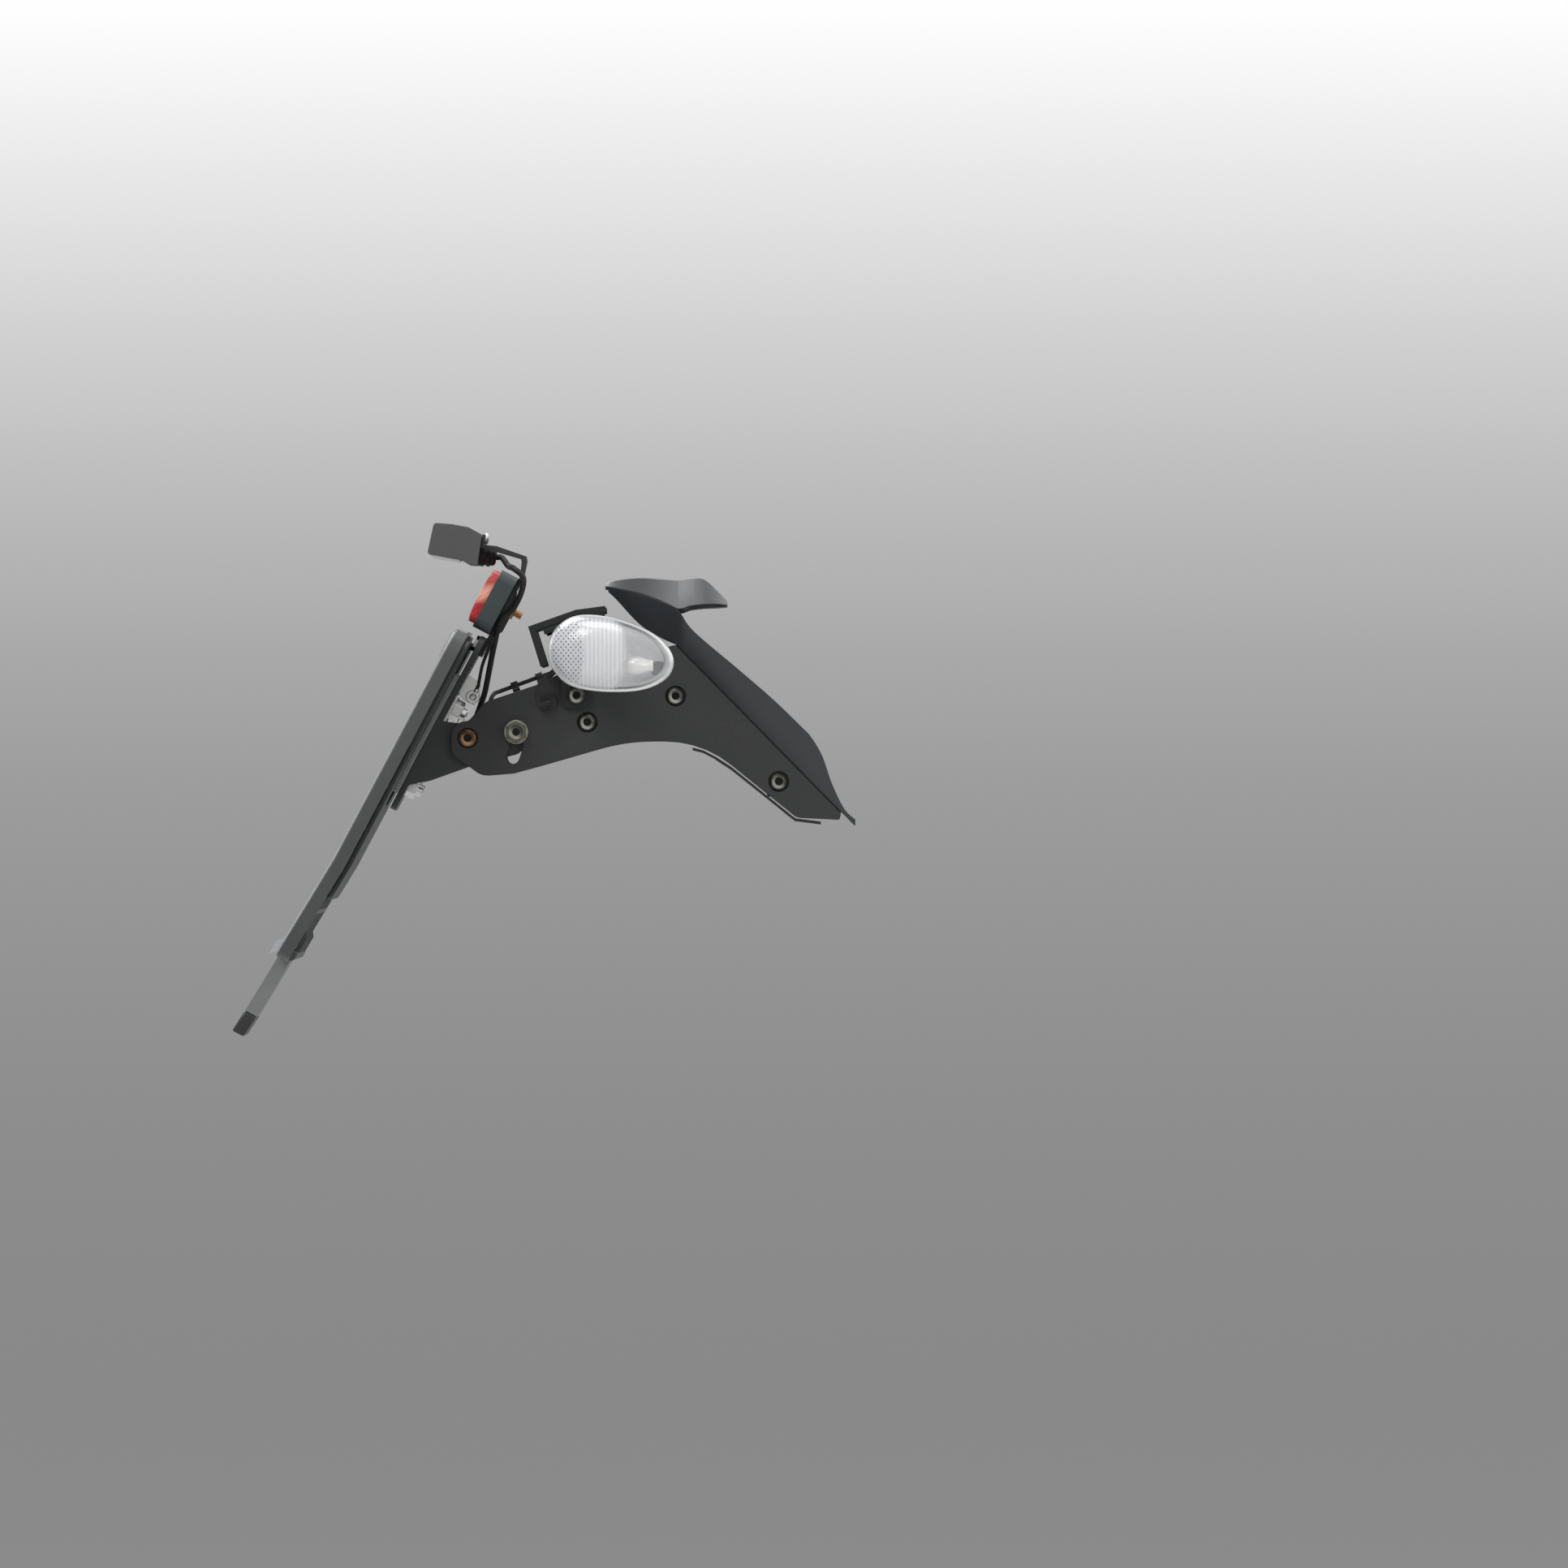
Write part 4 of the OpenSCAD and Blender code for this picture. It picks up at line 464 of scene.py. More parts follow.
def through(points, per_span):
    """A Catmull-Rom curve: between b and c it is half of 2b + (c-a)t + (2a-5b+4c-d)t^2 + (3b-a-3c+d)t^3,
    so it passes through every point and leaves it along the line between its neighbours."""
    p = np.asarray(points, float)
    shape = (1,) * (p.ndim - 1)
    ends = np.concatenate([p[:1], p, p[-1:]])
    a, b, c, d = ends[:-3], ends[1:-2], ends[2:-1], ends[3:]
    t = (np.arange(per_span) / per_span).reshape((per_span, 1) + shape)
    curve = 0.5 * (2 * b + (c - a) * t + (2 * a - 5 * b + 4 * c - d) * t**2
                   + (3 * b - a - 3 * c + d) * t**3)
    return np.concatenate([np.swapaxes(curve, 0, 1).reshape((-1,) + p.shape[1:]), p[-1:]])


print("pivot, in metres:", PIVOT / 1000)

# %% [markdown]
# ## From grids to pieces
# A surface is worked out as rings of points. These helpers close it, turn its faces outwards, make it a
# mesh and hang it on its body. Most forms here are a tube through rings, because such a form has no
# open seam and no stray face.

# %% From grids to pieces
def piece(name, points, faces, body, slot_name, finish_name, replaced=(), sharp=35.0):
    """A mesh from points in millimetres. Faces are turned outwards if the volume that they enclose,
    summed as a * (b x c) over their triangles, comes out negative."""
    p = np.asarray(points, float) / 1000
    mesh = bpy.data.meshes.new(name)
    mesh.from_pydata(p.tolist(), [], [list(map(int, f)) for f in faces])
    mesh.update()
    mesh.calc_loop_triangles()
    corner = np.empty(len(mesh.loop_triangles) * 3, int)
    mesh.loop_triangles.foreach_get("vertices", corner)
    a, b, c = p[corner.reshape(-1, 3)].swapaxes(0, 1)
    if np.einsum("ij,ij->", a, np.cross(b, c)) < 0:
        mesh.flip_normals()
    mesh.polygons.foreach_set("use_smooth", np.ones(len(mesh.polygons), bool))
    mesh.set_sharp_from_angle(angle=radians(sharp))
    made = bpy.data.objects.new(name, mesh)
    scene.collection.objects.link(made)
    made.data.materials.append(finishes[finish_name])
    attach(made, body)
    if replaced:
        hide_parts(*replaced)
    return made


def tube_of(rings):
    """Points and faces of a closed form through rings, with a fan to a middle point at both ends."""
    m, n = rings.shape[:2]
    middle = rings[[0, -1]].mean(axis=1)
    k = np.arange(n)
    fan = [np.stack([k, (k + 1) % n, np.full(n, m * n)], axis=1),
           np.stack([(m - 1) * n + (k + 1) % n, (m - 1) * n + k, np.full(n, m * n + 1)], axis=1)]
    sides = grid_quads(m, n)[:, ::-1]
    return np.concatenate([rings.reshape(-1, 3), middle]), sides.tolist() + fan[0].tolist() + fan[1].tolist()


def joined(parts):
    """Several point and face lists as one."""
    points, faces, start = [], [], 0
    for p, f in parts:
        points.append(np.asarray(p, float))
        faces += [[int(i) + start for i in face] for face in f]
        start += len(p)
    return np.concatenate(points), faces


def mirrored(part):
    """The same form on the other side, with its faces turned back outwards."""
    points, faces = part
    return points * [1, -1, 1], [list(face)[::-1] for face in faces]


def rounded_edges(made, width, limit=30.0):
    """A Bevel modifier, width in millimetres, on the edges sharper than the limit in degrees."""
    bevel = made.modifiers.new("rounding", "BEVEL")
    bevel.width, bevel.segments = width / 1000, 3
    bevel.limit_method, bevel.angle_limit = "ANGLE", radians(limit)


print("pieces can be made")

# %% [markdown]
# ## The moulded cover
# The cover is one plastic moulding: a pointed nose under a closed, raised top, and two flanks that
# flare out, twist and close towards the front. A surface through a few measured stations gives the
# flanks their slow twist, which flat facets would break up. A small bevel rounds every rim.

# %% Stations of the cover
# Half the nose's width, the wall, where a flank stands and how far it leans out, and half the top's
# width; then the gap over the groove and the lowest point of the flanks.
HALF, WALL, FOOT, FLARE, SHELF = 13.0, 2.2, 30.4, 9.0, 18.0
GAP, LOWEST = 0.5, -63.5
TOP, END = np.array([-3.1, 11.9]), np.array([66.0, -58.5])
slope = (TOP[1] - END[1]) / (END[0] - TOP[0])


def groove_height(x):
    """Height of the cover's lower edge: the line from the groove's top to its end, raised by its gap."""
    return TOP[1] - (x - TOP[0]) * slope + GAP * np.hypot(1, slope)


# A row of nose is x, then half width (a share of HALF) and height of its low, middle and high point. A
# row of flank is x, the height of its top and its share of the flare.
nose = np.array([[-31.4, 0.38, 34.2, 0.5, 35.2, 0.65, 36.2], [-28, 0.6, 31, 0.8, 33.5, 0.95, 35.6],
                 [-18.4, 1.2, 20.8, 1.4, 27.5, 1.5, 33.4], [-9, 1.9, 14.9, 2.1, 22.5, 2.25, 30]])
flank = np.array([[-2, 26.4, 1], [4.5, 17.6, 1], [22.8, 2, 1], [37.7, -10.9, 1], [49.3, -22.1, 0.95],
                  [53.4, -26.4, 0.85], [58.1, -34.3, 0.62], [62.2, -45.9, 0.35], [67.3, -56.4, 0.12],
                  [72, -61, 0.04]])
low = np.maximum(groove_height(flank[:, 0]), LOWEST)
high = np.maximum(flank[:, 1], low + 1.5)
at_nose = np.stack([nose[:, [0, 0, 0]], -HALF * nose[:, [1, 3, 5]], nose[:, [2, 4, 6]]], axis=-1)
at_flank = np.stack([flank[:, [0, 0, 0]],
                     -FOOT - FLARE * flank[:, 2:] * np.array([0.0, 0.62, 1.0]),
                     np.stack([low, (low + high) / 2, high], axis=1)], axis=-1)
stations = np.concatenate([at_nose, at_flank])
print("stations:", len(stations))


# %% Walls, top and floor of the cover
def across(three, steps):
    """A parabola through the low, middle and high point of each station."""
    v = np.linspace(0, 1, steps)[None, :, None]
    a, b, c = three[:, None, 0], three[:, None, 1], three[:, None, 2]
    return a * (1 - v) * (1 - 2 * v) + 4 * b * v * (1 - v) + c * v * (2 * v - 1)


course = through(stations, 8)
on_line = course[:, 0, 0] > -2
course[on_line, 0, 2] = np.maximum(groove_height(course[on_line, 0, 0]), LOWEST)
outer_skin = across(course, 9)
inner_skin = outer_skin + np.array([0.0, WALL, 0.0])
wall = tube_of(np.concatenate([outer_skin, inner_skin[:, ::-1]], axis=1))


def slab(outline, y0, y1):
    """A flat outline in x and z, given from y0 to y1, with both ends closed."""
    o = np.asarray(outline, float)
    ring = [np.stack([o[:, 0], np.full(len(o), y), o[:, 1]], axis=1) for y in (y0, y1)]
    n = len(o)
    return np.concatenate(ring), grid_quads(2, n).tolist() + [list(range(n))[::-1], list(range(n, 2 * n))]


# A row of top is x, half width (a share of HALF) and height of the shoulder, the same of the deck, and
# the thickness.
top = np.array([[-32.6, 0.49, 36.5, 0.32, 37.6, 2.2], [-28, 0.88, 35.7, 0.6, 39, 2.4],
                [-18.4, 1.42, 33.6, 1.05, 39.9, 2.6], [-9, 2.16, 30.3, 1.3, 39.3, 2.6],
                [-2, 2.9, 27, SHELF / HALF, 38.8, 2.6], [3, 2.82, 28.2, 1.385, 39.4, 2.6],
                [7.5, 2.75, 28.8, 1.385, 39.6, 2.6], [11, 2.66, 29, 1.36, 37.6, 2.6],
                [14.5, 2.55, 29, 1.3, 34.2, 2.4], [18.4, 2.45, 28.6, 1.25, 30.2, 1.2]])


def hood_ring(x, y1, z1, y2, z2, t):
    """A section of the cover's top: shoulder, inner shoulder and inner deck on the right, the same
    mirrored, then the deck from left to right."""
    right = np.array([[-y1, z1], [-y1 + t * 0.8, z1 - t * 0.6], [-y2 + t * 0.3, z2 - t]])
    deck = np.array([[-y2, z2], [-y2 * 0.33, z2 + 0.25]])
    ring = np.concatenate([right, right[::-1] * [-1, 1], deck * [-1, 1], deck[::-1]])
    return np.column_stack([np.full(len(ring), x), ring])


hood = tube_of(through([hood_ring(s[0], s[1] * HALF, s[2], s[3] * HALF, s[4], s[5]) for s in top], 6))
lip_x = np.linspace(-3.0, 66.0, 24)
lip_z = groove_height(lip_x) - GAP * np.hypot(1, slope)
LIP_OUTER, LIP_INNER = -29.4, -28.2
lip = slab(np.concatenate([np.column_stack([lip_x, lip_z + 0.03]),
                           np.column_stack([lip_x, lip_z + 2.2])[::-1]]), LIP_OUTER, LIP_INNER)
under_x = np.array([30, 65])
under_edge = np.column_stack([under_x, groove_height(under_x) + 0.35])
floor_plate = slab(np.concatenate([under_edge, under_edge[::-1] + [0, WALL]]), -FOOT + 1.1, FOOT - 1.1)
print("floor of the cover, mm:", under_edge.round(1).tolist())

# %% Screw tabs and the whole cover
tab_ring = [[33, groove_height(33) + 1], [49, groove_height(49) + 1], [49.5, -47], [46.5, -50.2],
            [41, -52.4], [35.5, -51.4], [33.4, -47], [33, -42]]
tab = slab(tab_ring, -26, -24)
cover = piece("cover_moulding", *joined([wall, mirrored(wall), hood, lip, mirrored(lip), floor_plate, tab,
                                         mirrored(tab)]),
              "arm", "cover_black", "moulded_grain", ["tail_cover"])
rounded_edges(cover, 0.55)
print("cover:", len(cover.data.polygons), "faces")

# %% [markdown]
# ## Indicators
# An indicator is a teardrop: a rubber stem, a moulded cup, a gasket, a bright bowl with a bulb, and a
# clear lens. One outline serves every layer. A ring of the form is that outline, shrunk towards its
# middle and set to a depth, so each layer is a list of pairs of shrink and depth.

# %% Teardrop rings
def evenly(outline, count):
    """The closed outline again, with count points at equal steps along its length."""
    loop = np.concatenate([outline, outline[:1]])
    run = np.concatenate([[0], np.cumsum(np.linalg.norm(np.diff(loop, axis=0), axis=1))])
    at = np.linspace(0, run[-1], count + 1)[:-1]
    return np.column_stack([np.interp(at, run, loop[:, i]) for i in (0, 1)])


EGG = np.array([[-0.33, -0.415], [-0.08, -0.5], [0.24, -0.48], [0.443, -0.323], [0.497, -0.08],
                [0.4, 0.178], [0.21, 0.363], [-0.05, 0.482], [-0.29, 0.48], [-0.45, 0.3], [-0.5, 0.03],
                [-0.465, -0.2]])
AROUND = 96


def teardrop(length, height):
    """The closed smooth curve through the points of EGG, which are shares of the length and the height."""
    curve = through(np.concatenate([EGG[-2:], EGG, EGG[:2]]), 12)[24:24 + 12 * len(EGG)]
    return evenly(curve * [length, height], AROUND)


LENS, LENS_MIDDLE = (52.4, 32.0), (-29.5, 8.0)
STEM_FROM, CUP_FROM, GASKET_FROM, LENS_FROM = 52.0, 78.0, 92.0, 93.2


def drop_rings(shrink, depth, y, size=LENS, outline=None):
    """Rings of the teardrop: middle + (outline - middle) * shrink, each y + depth out to the right."""
    o = teardrop(*size) if outline is None else outline
    middle = np.array([-0.06 * size[0], 0.01 * size[1]])
    shrink, depth = np.broadcast_arrays(np.asarray(shrink, float), np.asarray(depth, float))
    flat = middle + (o - middle)[None] * shrink[:, None, None]
    return np.stack([flat[..., 0] + LENS_MIDDLE[0], np.repeat(-(y + depth)[:, None], len(o), axis=1),
                     flat[..., 1] + LENS_MIDDLE[1]], axis=-1)


print("outline of the lens, mm:", np.ptp(teardrop(*LENS), axis=0).round(1))

# %% Clear lens, cup and bowl
ARC = np.linspace(0, pi / 2, 23)[:-1]
SHRINK = np.cos(ARC) ** 0.6


def dome(size, depth, y):
    """A superellipse in section: shrink = cos(a)^0.6 and depth = D sin(a)^0.95, from rim to crown."""
    return drop_rings(SHRINK, depth * np.sin(ARC) ** 0.95, y, size)


outside = dome(LENS, 17.0, LENS_FROM)
inside = dome((LENS[0] - 3.2, LENS[1] - 3.2), 15.4, LENS_FROM)
lens = tube_of(np.concatenate([inside[::-1], outside]))
cup_outside = drop_rings([0.99, 0.95, 0.84, 0.62, 0.34], [14.0, 9.52, 5.04, 1.68, 0.0], CUP_FROM)
cup_outside[..., 0] += np.array([0, 0, 0, -2, -6])[:, None]
cup_inside = drop_rings([0.58, 0.74, 0.86, 0.92], [4.2, 7.0, 10.5, 14.0], CUP_FROM)
cup = tube_of(np.concatenate([through(cup_inside, 4), through(cup_outside, 4)]))
FOCUS = np.array([-21.5, 8.0])
BOWL_AROUND, BOWL_SINK, BOWL_RISE = 40, 5.9, 6.6


def bowl_rings():
    """From a point behind the bulb to the shrunk outline, straight in plan and a parabola in depth."""
    outline = evenly(teardrop(*LENS), BOWL_AROUND)
    edge = drop_rings([0.86], [0.0], GASKET_FROM, outline=outline)[0][:, [0, 2]]
    t = np.linspace(0.04, 1, 10)
    flat = FOCUS + (edge - FOCUS)[None] * t[:, None, None]
    depth = GASKET_FROM - BOWL_SINK + BOWL_RISE * t**2
    return np.stack([flat[..., 0], np.repeat(-depth[:, None], BOWL_AROUND, axis=1), flat[..., 1]], axis=-1)


front_of_bowl = bowl_rings()
bowl = tube_of(np.concatenate([front_of_bowl, front_of_bowl[::-1] + np.array([0.0, 0.7, 0.0])]))
print("lens", outside.shape, "bowl", front_of_bowl.shape)


# %% [markdown]
# The stem, its thread and the bulb are round, so each is a profile of radius and height turned about
# its axis. The bulb lies along the lens, in a socket of two small blocks.

# %% Round parts
def turned(profile, centre, along, count=32, per_span=1):
    """Rings round an axis through centre: radius * (cos, sin) in the plane across, height along it."""
    p = through(np.asarray(profile, float), per_span) if per_span > 1 else np.asarray(profile, float)
    along = np.asarray(along, float) / np.linalg.norm(along)
    side = np.cross(along, [0.31, 0.52, 0.8])
    side /= np.linalg.norm(side)
    a = np.linspace(0, 2 * pi, count, endpoint=False)
    round_ = side * np.cos(a)[:, None] + np.cross(along, side) * np.sin(a)[:, None]
    middle = np.asarray(centre, float) + p[:, 1, None, None] * along
    return tube_of(middle + p[:, 0, None, None] * round_[None])


STEM_AT = (-39.5, 8.0)
# Radius and height of the rubber, with a fold at each end.
grip = [[8, 0.02], [8, 1.8], [7.6, 2.2], [6.6, 3.2], [6.6, 4.4], [6.1, 4.9], [6.1, 5.5], [6.35, 6.0],
        [6.2, 7.2], [5.8, 7.7], [5.8, 8.3], [6.0, 8.8], [5.6, 10.5], [5.35, 12.5], [5.45, 15], [5.8, 17.4],
        [5.6, 17.9], [5.6, 18.5], [6.1, 19], [6.2, 20.4], [5.9, 20.9], [5.9, 21.5], [6.5, 22.2],
        [7.0, 24.4], [7.4, 25.4], [7.4, 25.98]]
stem = turned(grip, (STEM_AT[0], -STEM_FROM, STEM_AT[1]), (0, -1, 0), 40)
turns = np.arange(0, 8.05, 0.25)
thread = np.column_stack([4.0 - 0.28 * np.abs((turns % 1.0) * 2 - 1), turns - 8.1])
stud = turned(thread, (STEM_AT[0], -STEM_FROM, STEM_AT[1]), (0, -1, 0), 24)
glass = [[2.5, 0], [2.5, 1.4], [2.8, 2.8], [3.4, 4.4], [3.8, 6.4], [3.85, 8.2], [3.4, 10.2], [2.4, 11.6],
         [1.2, 12.3], [0.4, 12.5]]
bulb = turned(glass, (-12.0, -98.0, 2.9), (-1, 0, 0), 32, 3)
socket = joined([slab([[-12.6, -0.9], [-8.6, -0.9], [-8.6, 4.7], [-12.6, 4.7]], -98.4, -90.5),
                 slab([[-12.4, -0.6], [-7.7, -0.6], [-7.7, 4.4], [-12.4, 4.4]], -94.0, -90.8)])
print("stem rings:", len(grip), "thread rings:", len(thread))

# %% [markdown]
# The clear plastic carries its optics on the inside: diamonds at the broad end, upright flutes beside
# them, and nothing over the bulb. Cut as faces they would be thousands, so colour, bumps and transparency
# draw them, all three from one pair of formulas. The colour also paints shade into the hollows of the
# diamonds and the flutes, and a highlight on the lens's lower rim.

# %% Finishes of the indicators
PITCH = 0.0033


def prisms(b, point):
    """Diamonds at the broad end, upright flutes beside them, and where each of the two lies. u and v
    count prisms from the lens's middle."""
    x, y, z = b.axes(point)
    u, v = (x - LENS_MIDDLE[0] / 1000) / PITCH, (z - LENS_MIDDLE[1] / 1000) / PITCH
    bow = u + v * v * 0.05
    left, right = 1.0 - bow.ramp(-3.7, -3.1), bow.ramp(0.8, 2.4)
    diamond = ((u * 1.6 + v * 1.4).wave()).most((u * 1.6 - v * 1.4).wave())
    return diamond, (u * 1.9).wave(), left, (1.0 - left) * (1.0 - right)


def rim_zone(b, low, high):
    """1 on the lens's rim. The lens's mesh keeps the shrink of each ring as an attribute."""
    return b.node("Attribute", {"attribute_name": "shrink"}, out="Fac").ramp(low, high)


def lens_pattern(b, point, colour, roughness, height):
    """Grey diamonds with hollows painted dark as shade, then whitish flutes painted a little darker in
    their troughs as shade, as colour and as height. The rim is painted white low down as a highlight, and
    grey higher up.
    """
    diamond, flute, left, middle = prisms(b, point)
    # Painted shade: the diamonds' hollows are nearly black.
    cut = b.blend(diamond.ramp(0.2, 0.55), (0.10, 0.105, 0.11), (0.66, 0.67, 0.70))
    # Painted shade: the flutes' troughs are a little darker than their ridges.
    soft = b.blend(flute, (0.74, 0.75, 0.77), (0.86, 0.865, 0.87))
    shade = b.blend(left, soft, cut)
    # Painted highlight: the rim is white below z 0.011 m and grey above 0.02 m.
    rim = b.blend(b.axes(point)[2].ramp(0.011, 0.02), (1.0, 1.0, 1.0), (0.42, 0.43, 0.44))
    return b.blend(rim_zone(b, 0.9, 0.96), shade, rim), roughness, diamond * left + flute * middle * 0.25


def clear_alpha(made, clear, cut, fluted, rim):
    """How much of the light the clear plastic keeps: most at the rim, then the diamonds and the flutes."""
    b = Board(made.node_tree, fresh=False)
    surface = [n for n in b.tree.nodes if n.type == "BSDF_PRINCIPLED"][0]
    diamond, flute, left, middle = prisms(b, b.place())
    inner = clear + left * (cut - clear) + (flute * 0.3 + 0.7) * middle * (fluted - clear)
    alpha = inner.most(rim_zone(b, 0.88, 0.97) * rim)
    b.tree.links.new(alpha.socket, surface.inputs["Alpha"])


finish("clear_lens", (0.9, 0.92, 0.93), 0.06, specular=0.7, bump=0.4, drift=0.02, coat=0.4,
       alter=lens_pattern, edge_round=0.0002)
clear_alpha(finishes["clear_lens"], 0.16, 0.75, 0.66, 0.94)
finish("bulb_glass", (0.95, 0.93, 0.90), 0.08, metal=0.1, drift=0.03, coat=0.6)
finish("zinc_thread", (0.45, 0.45, 0.43), 0.35, grain=0.0003, metal=1.0)
print("finishes:", len(finishes))

# %% Indicators on both sides
SIDES = (("right", lambda part: part), ("left", mirrored))
shrinks = np.concatenate([np.repeat(SHRINK[::-1], AROUND), np.repeat(SHRINK, AROUND), [0, 0]])
for side, flip in SIDES:
    lens_piece = piece("lens_" + side, *flip(lens), "arm", "clear_lens", "clear_lens",
                       ["indicator_lens_" + side])
    lens_piece.data.attributes.new("shrink", "FLOAT", "POINT").data.foreach_set("value", shrinks)
    piece("cup_" + side, *flip(cup), "arm", "plastic_black", "black_plastic", ["indicator_housing_" + side])
    piece("bowl_" + side, *flip(bowl), "arm", "bright_bowl", "mirror_bowl", ["indicator_reflector_" + side],
          sharp=4.0)
    piece("bulb_" + side, *flip(bulb), "arm", "bulb", "bulb_glass", ["indicator_bulb_" + side])
    rounded_edges(piece("socket_" + side, *flip(socket), "arm", "plastic_black", "black_plastic",
                        ["bulb_holder_" + side]), 0.4)
    piece("stem_" + side, *flip(stem), "arm", "rubber_black", "rubber", ["indicator_stem_" + side])
    piece("stud_" + side, *flip(stud), "arm", "steel", "zinc_thread", ["indicator_stem_" + side])
print("indicators:", len(SIDES), "lens points:", len(shrinks))

# %% [markdown]
# ## Leads
# A lead is a circle carried along a curve. The circle's frame is turned as little as possible from one
# point to the next, so that the tube doesn't twist. The routes are those of the solids.

# %% Tubes
def tube(points, diameter, first=(0, 0, 1), steps=8, count=14):
    """Rings of a circle along the smooth curve through the points: p + r * (side cos a + (t x side) sin a),
    where side is the last ring's side with its part along the tangent t taken out."""
    p = through(points, steps)
    t = np.gradient(p, axis=0)
    t /= np.linalg.norm(t, axis=1)[:, None]
    side, sides = np.asarray(first, float), []
    for tangent in t:
        side = side - (side @ tangent) * tangent
        side = side / np.linalg.norm(side)
        sides.append(side)
    u = np.array(sides)
    a = np.linspace(0, 2 * pi, count, endpoint=False)[None, :, None]
    return tube_of(p[:, None] + diameter / 2 * (u[:, None] * np.cos(a) + np.cross(t, u)[:, None] * np.sin(a)))


# How far out the side plates' outer faces lie, where the clips hold the lead, and the stud's inner end.
OUT, CLIP = 30.0, 21.5
STUD_END = STEM_FROM - 2.6 - 4 - 1.5
indicator_route = [[-39.5, -STUD_END - 3, 8], [-39.5, -STUD_END + 3, 8], [-48.5, -OUT - 9, 5],
                   [-60, -OUT - 7, -5], [-60.4, -OUT - 6, -12.7], [-56.4, -OUT - 3, -12.2],
                   [-56.4, -26, -12.2], [-56.4, -21, -12.2], [-46, -15, -11], [-34, -7, -9],
                   [-28.1, -6, -9]]
for side, flip in SIDES:
    piece("indicator_wire_" + side, *flip(tube(indicator_route, 1.8)), "arm", "rubber_black", "rubber",
          ["indicator_lead_" + side])
arm_route = [[-90, 0.08, -27], [-90, 4, -27], [-87, 8, -25], [-83, 9, -19], [-81, 11, -11.5],
             [-79.5, 17, -8.4], [-77.3, 20.9, -7.35], [-75, CLIP, -6.5], [-69, CLIP, -4.3],
             [-58, CLIP, -0.4], [-50, CLIP, 1.4], [-42, 14, -1], [-34, 4, -6], [-28.1, 2, -7]]
piece("arm_wire", *tube(arm_route, 1.8), "arm", "rubber_black", "rubber", ["fixed_lead"])
print("leads on the arm: 3")

# %% Lamp lead, earth wire and eyelet
LAMP_AT, TILT = np.array([-45.3, 69.1]), radians(19.8)


def lamp_point(a, b, y=0.0):
    """A point given along and across the tilted lamp, in the upright carrier."""
    return [LAMP_AT[0] + a * np.cos(TILT) - b * np.sin(TILT), y,
            LAMP_AT[1] + a * np.sin(TILT) + b * np.cos(TILT)]


Y = -12 - 1.25 - 0.5
lamp_route = [lamp_point(15, -3.6), lamp_point(18, -3.6), lamp_point(20.4, -3.6), lamp_point(22.4, -3.6),
              lamp_point(25.5, -6.6, -6), [-16.2, -13.2, 71.6], [-11, Y, 70], [-8.8, Y, 63.5], [-8.9, Y, 56],
              [-11, Y, 49.7], [-8.2, Y, 38.3], [-6, Y, 31], [-4, Y, 24.5], [-2.6, -13, 19.5],
              [-1.6, -11.5, 13], [-0.7, -8.5, 6], [-0.1, -5.5, 1], [0, -2.8, 0], [0, -0.08, 0]]
points, faces = tube(lamp_route, 2.5)
piece("lamp_wire", leaned(points), faces, "carrier", "rubber_black", "rubber", ["lamp_lead"])
BLOCK = -16.5
earth_route = [[-10.4, Y - 2, 42], [-9.7, Y - 2, 35.4], [-8.9, Y - 2.2, 29.6], [-7.4, BLOCK - 1.6, 24.6],
               [-6.4, BLOCK - 1.4, 21.4], [-6.2, BLOCK - 0.8, 19]]
points, faces = tube(earth_route, 1.4, (1, 0, 0))
piece("earth_strand", leaned(points), faces, "carrier", "rubber_black", "rubber", ["earth_wire"])
ring = [[1.3, 0.15], [1.45, 0], [2.75, 0], [2.95, 0.2], [2.95, 0.8], [2.75, 1.0], [1.45, 1.0], [1.3, 0.85]]


def hoop(profile, centre, along, count=32):
    """A closed profile turned round an axis that it doesn't touch, so its last ring meets its first."""
    points, faces = turned(profile, centre, along, count)
    m = len(profile)
    last = [[(m - 1) * count + k, k, (k + 1) % count, (m - 1) * count + (k + 1) % count]
            for k in range(count)]
    return points[:-2], faces[:(m - 1) * count] + last


eye = hoop(ring, (-6.2, BLOCK, 16.1), (0, -1, 0))
crimp = turned([[0.75, 0], [0.95, 0.2], [0.95, 1.4], [0.8, 1.8], [0.95, 2.2], [0.95, 3.2], [0.8, 3.4]],
               (-6.2, BLOCK - 0.8, 18.4), (0, 0, 1), 20)
points, faces = joined([eye, crimp])
piece("eyelet", leaned(points), faces, "carrier", "steel", "stainless", ["earth_wire"])
print("leads on the carrier: 2")

# %% [markdown]
# ## Lamp and reflector
# The plate lamp is a small box that opens downwards. A rubber boot seals its lead. The reflector is a
# slate housing with a red lens whose crown carries a painted peach highlight.

# %% Boot
def on_lamp(part):
    """From the lamp's own upright place to the carrier's: x along the lamp, z across it."""
    points, faces = part
    x, y, z = points.T
    return leaned(np.column_stack(lamp_point(x, z, y))), faces


folds = [[4.7, 0], [4.75, 1.9], [4.5, 2.3], [4.1, 2.5], [4.1, 3.1], [4.45, 3.4], [4.5, 4.4], [4.2, 4.8],
         [3.9, 5.0], [3.9, 5.5], [4.0, 5.8], [3.6, 6.5], [2.7, 7.1], [1.4, 7.1]]
boot = turned(folds, (12.95, 0, -3.6), (1, 0, 0), 36)
piece("lamp_seal", *on_lamp(boot), "carrier", "rubber_black", "rubber", ["lamp_boot"])
print("folds of the boot:", len(folds))

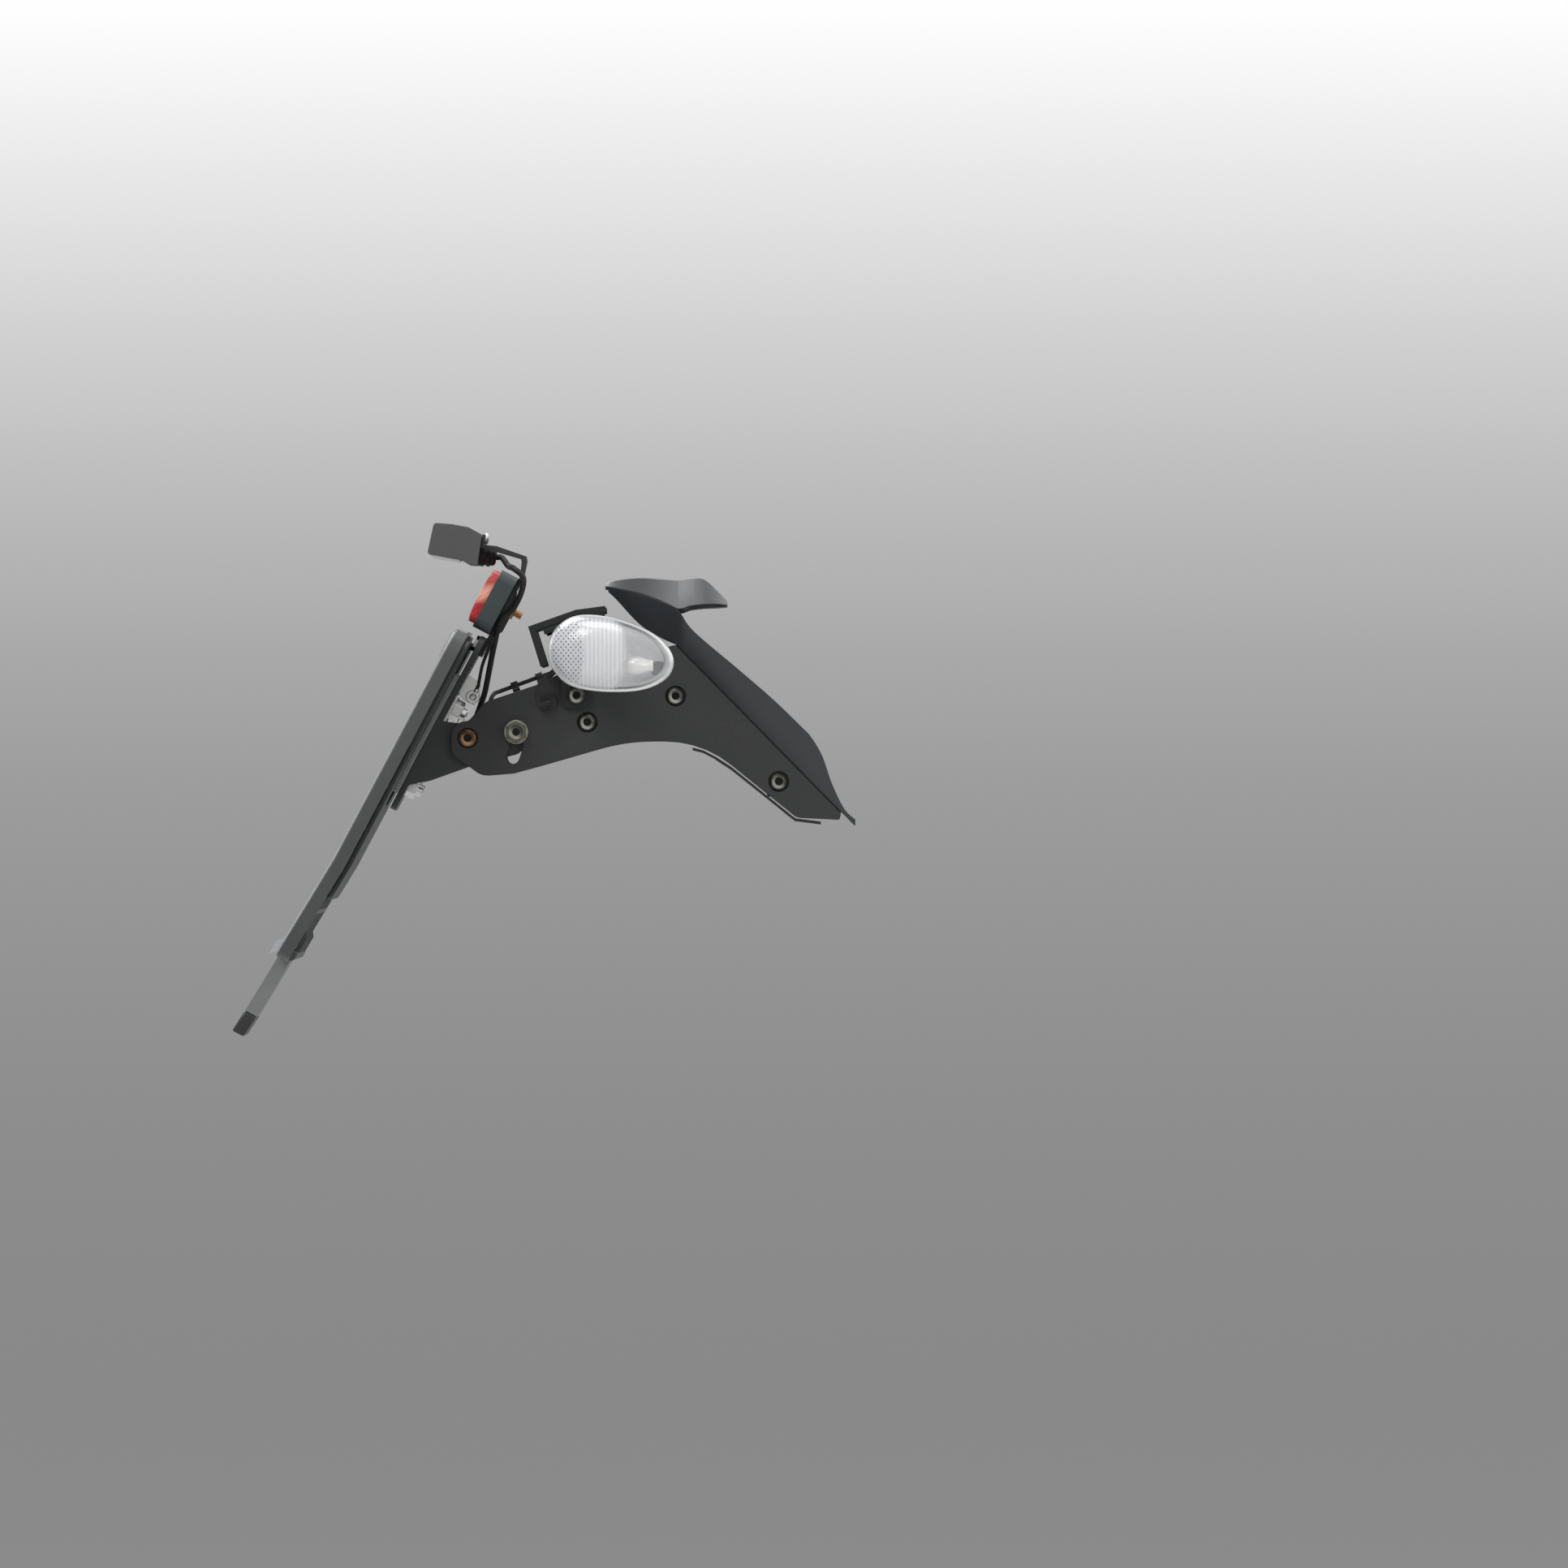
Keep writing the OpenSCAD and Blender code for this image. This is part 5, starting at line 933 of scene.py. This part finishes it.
# %% Finishes of the lenses
def cube_corners(b, point, colour, roughness, height):
    """Rows of small pyramids, as a reflector's back shows through its face: the least of three waves
    at 60 degrees. A peach highlight is painted across the crown and fades as a parabola in z."""
    x, y, z = b.axes(point)
    up = (z * 0.883 - x * 0.469) / 0.0026
    over = y / 0.003
    cell = (over + up * 0.5).wave().least((over - up * 0.5).wave()).least(up.wave())
    # Painted highlight: peach across the lens's crown, strongest at z 33.5 mm.
    painted_peach_highlight = (1.0 - ((z - 0.0335) * (z - 0.0335) / 0.00002).least(1.0)) * 0.75
    return b.blend(painted_peach_highlight, b.blend(cell, colour, (0.62, 0.035, 0.03)), (0.86, 0.42, 0.30)), roughness, cell


def ribbed(b, point, colour, roughness, height):
    """Ribs 1.8 mm apart: a wave along y as height."""
    return colour, roughness, (b.axes(point)[1] / 0.0018).wave()


finish("red_lens", (0.40, 0.010, 0.012), 0.12, specular=0.6, coat=0.8, alter=cube_corners, bump=0.25)
finish("lamp_lens", (0.86, 0.87, 0.88), 0.2, specular=0.6, alter=ribbed, bump=0.4, coat=0.3)
print("finishes:", len(finishes))

# %% [markdown]
# ## Rounded edges on sheet metal and mouldings
# A solid's edges are perfectly sharp, and real ones never are. A copy of the solid is welded, its flat
# triangles are merged, and a Bevel modifier rounds what is left. The copy stands for the solid.

# %% Softened copies
BODY = {n: b for b, names in frame["record"]["behaviour"]["bodies"].items() for n in names}


def softened(node, width, finish_name):
    """A welded copy of a node, with rounded edges, that replaces it."""
    source = frame["nodes"][node]
    shape = bmesh.new()
    shape.from_mesh(source.data)
    bmesh.ops.remove_doubles(shape, verts=shape.verts, dist=2e-6)
    bmesh.ops.dissolve_limit(shape, angle_limit=radians(1.0), verts=shape.verts, edges=shape.edges)
    mesh = bpy.data.meshes.new(node + "_soft")
    shape.to_mesh(mesh)
    shape.free()
    mesh.materials.clear()
    mesh.materials.append(finishes[finish_name])
    mesh.polygons.foreach_set("use_smooth", np.ones(len(mesh.polygons), bool))
    mesh.set_sharp_from_angle(angle=radians(35))
    made = bpy.data.objects.new(node + "_soft", mesh)
    scene.collection.objects.link(made)
    rounded_edges(made, width, limit=28.0)
    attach(made, BODY[node])
    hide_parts(node)


SOFT = [("side_plate_right", 0.45, "powder_coat"), ("side_plate_left", 0.45, "powder_coat"),
        ("mounting_bracket", 0.4, "near_black"),
        ("indicator_bracket_right", 0.4, "near_black"), ("indicator_bracket_left", 0.4, "near_black"),
        ("carrier_bracket", 0.4, "satin_coat"), ("adapter_plate", 0.35, "layer_grey"),
        ("backing_plate", 0.35, "satin_coat"), ("plate_base", 0.4, "holder_plastic"),
        ("strip_end", 0.9, "black_plastic"), ("upper_bracket", 0.3, "satin_coat"),
        ("reflector_lens", 0.45, "red_lens"), ("lamp_housing", 0.8, "lamp_grey"),
        ("lamp_lens", 0.3, "lamp_lens"), ("loom_connector", 0.5, "black_plastic"),
        ("clamp_strip", 0.25, "stainless"), ("cable_clamp", 0.5, "stainless")]
for node, width, name in SOFT:
    softened(node, width, name)
print("softened:", len(SOFT))

# %% [markdown]
# ## The panel under the front spacer
# A thin plate is bent to follow the lower edge of the side plates and closes them from below. Under its
# rolled edges, a strip in light trim is a painted highlight, so a bright line runs under the dark one at each
# side.

# %% Under panel
panel_edge = np.array([[4.0, -30.9], [8.5, -32.1], [13.5, -34.7], [20, -38.9], [33, -49.3], [45.6, -59.5],
                       [47.2, -60.6], [57.6, -61.9]])
half_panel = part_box("under_panel")[1][1] * 1000


def sheet_under(edge, drop, thick, y0, y1):
    """The strip of a section between the edge line lowered by drop and by drop + thick, from y0 to y1."""
    line = edge - [0, drop]
    return slab(np.concatenate([line, (line - [0, thick])[::-1]]), y0, y1)


piece("under_plate", *sheet_under(panel_edge, 0.05, 1.15, -half_panel, half_panel), "arm",
      "plates_black", "near_black", ["under_panel"])
# Painted highlight: a light grey strip under each rolled edge, where such an edge catches the light.
painted_highlight_strip = sheet_under(panel_edge[2:7], 1.15, 0.45, -half_panel + 0.4, -half_panel + 1.4)
piece("under_plate_painted_highlight", *joined([painted_highlight_strip, mirrored(painted_highlight_strip)]), "arm", "plates_black", "bright_trim")
print("panel half width, mm:", round(half_panel, 1))
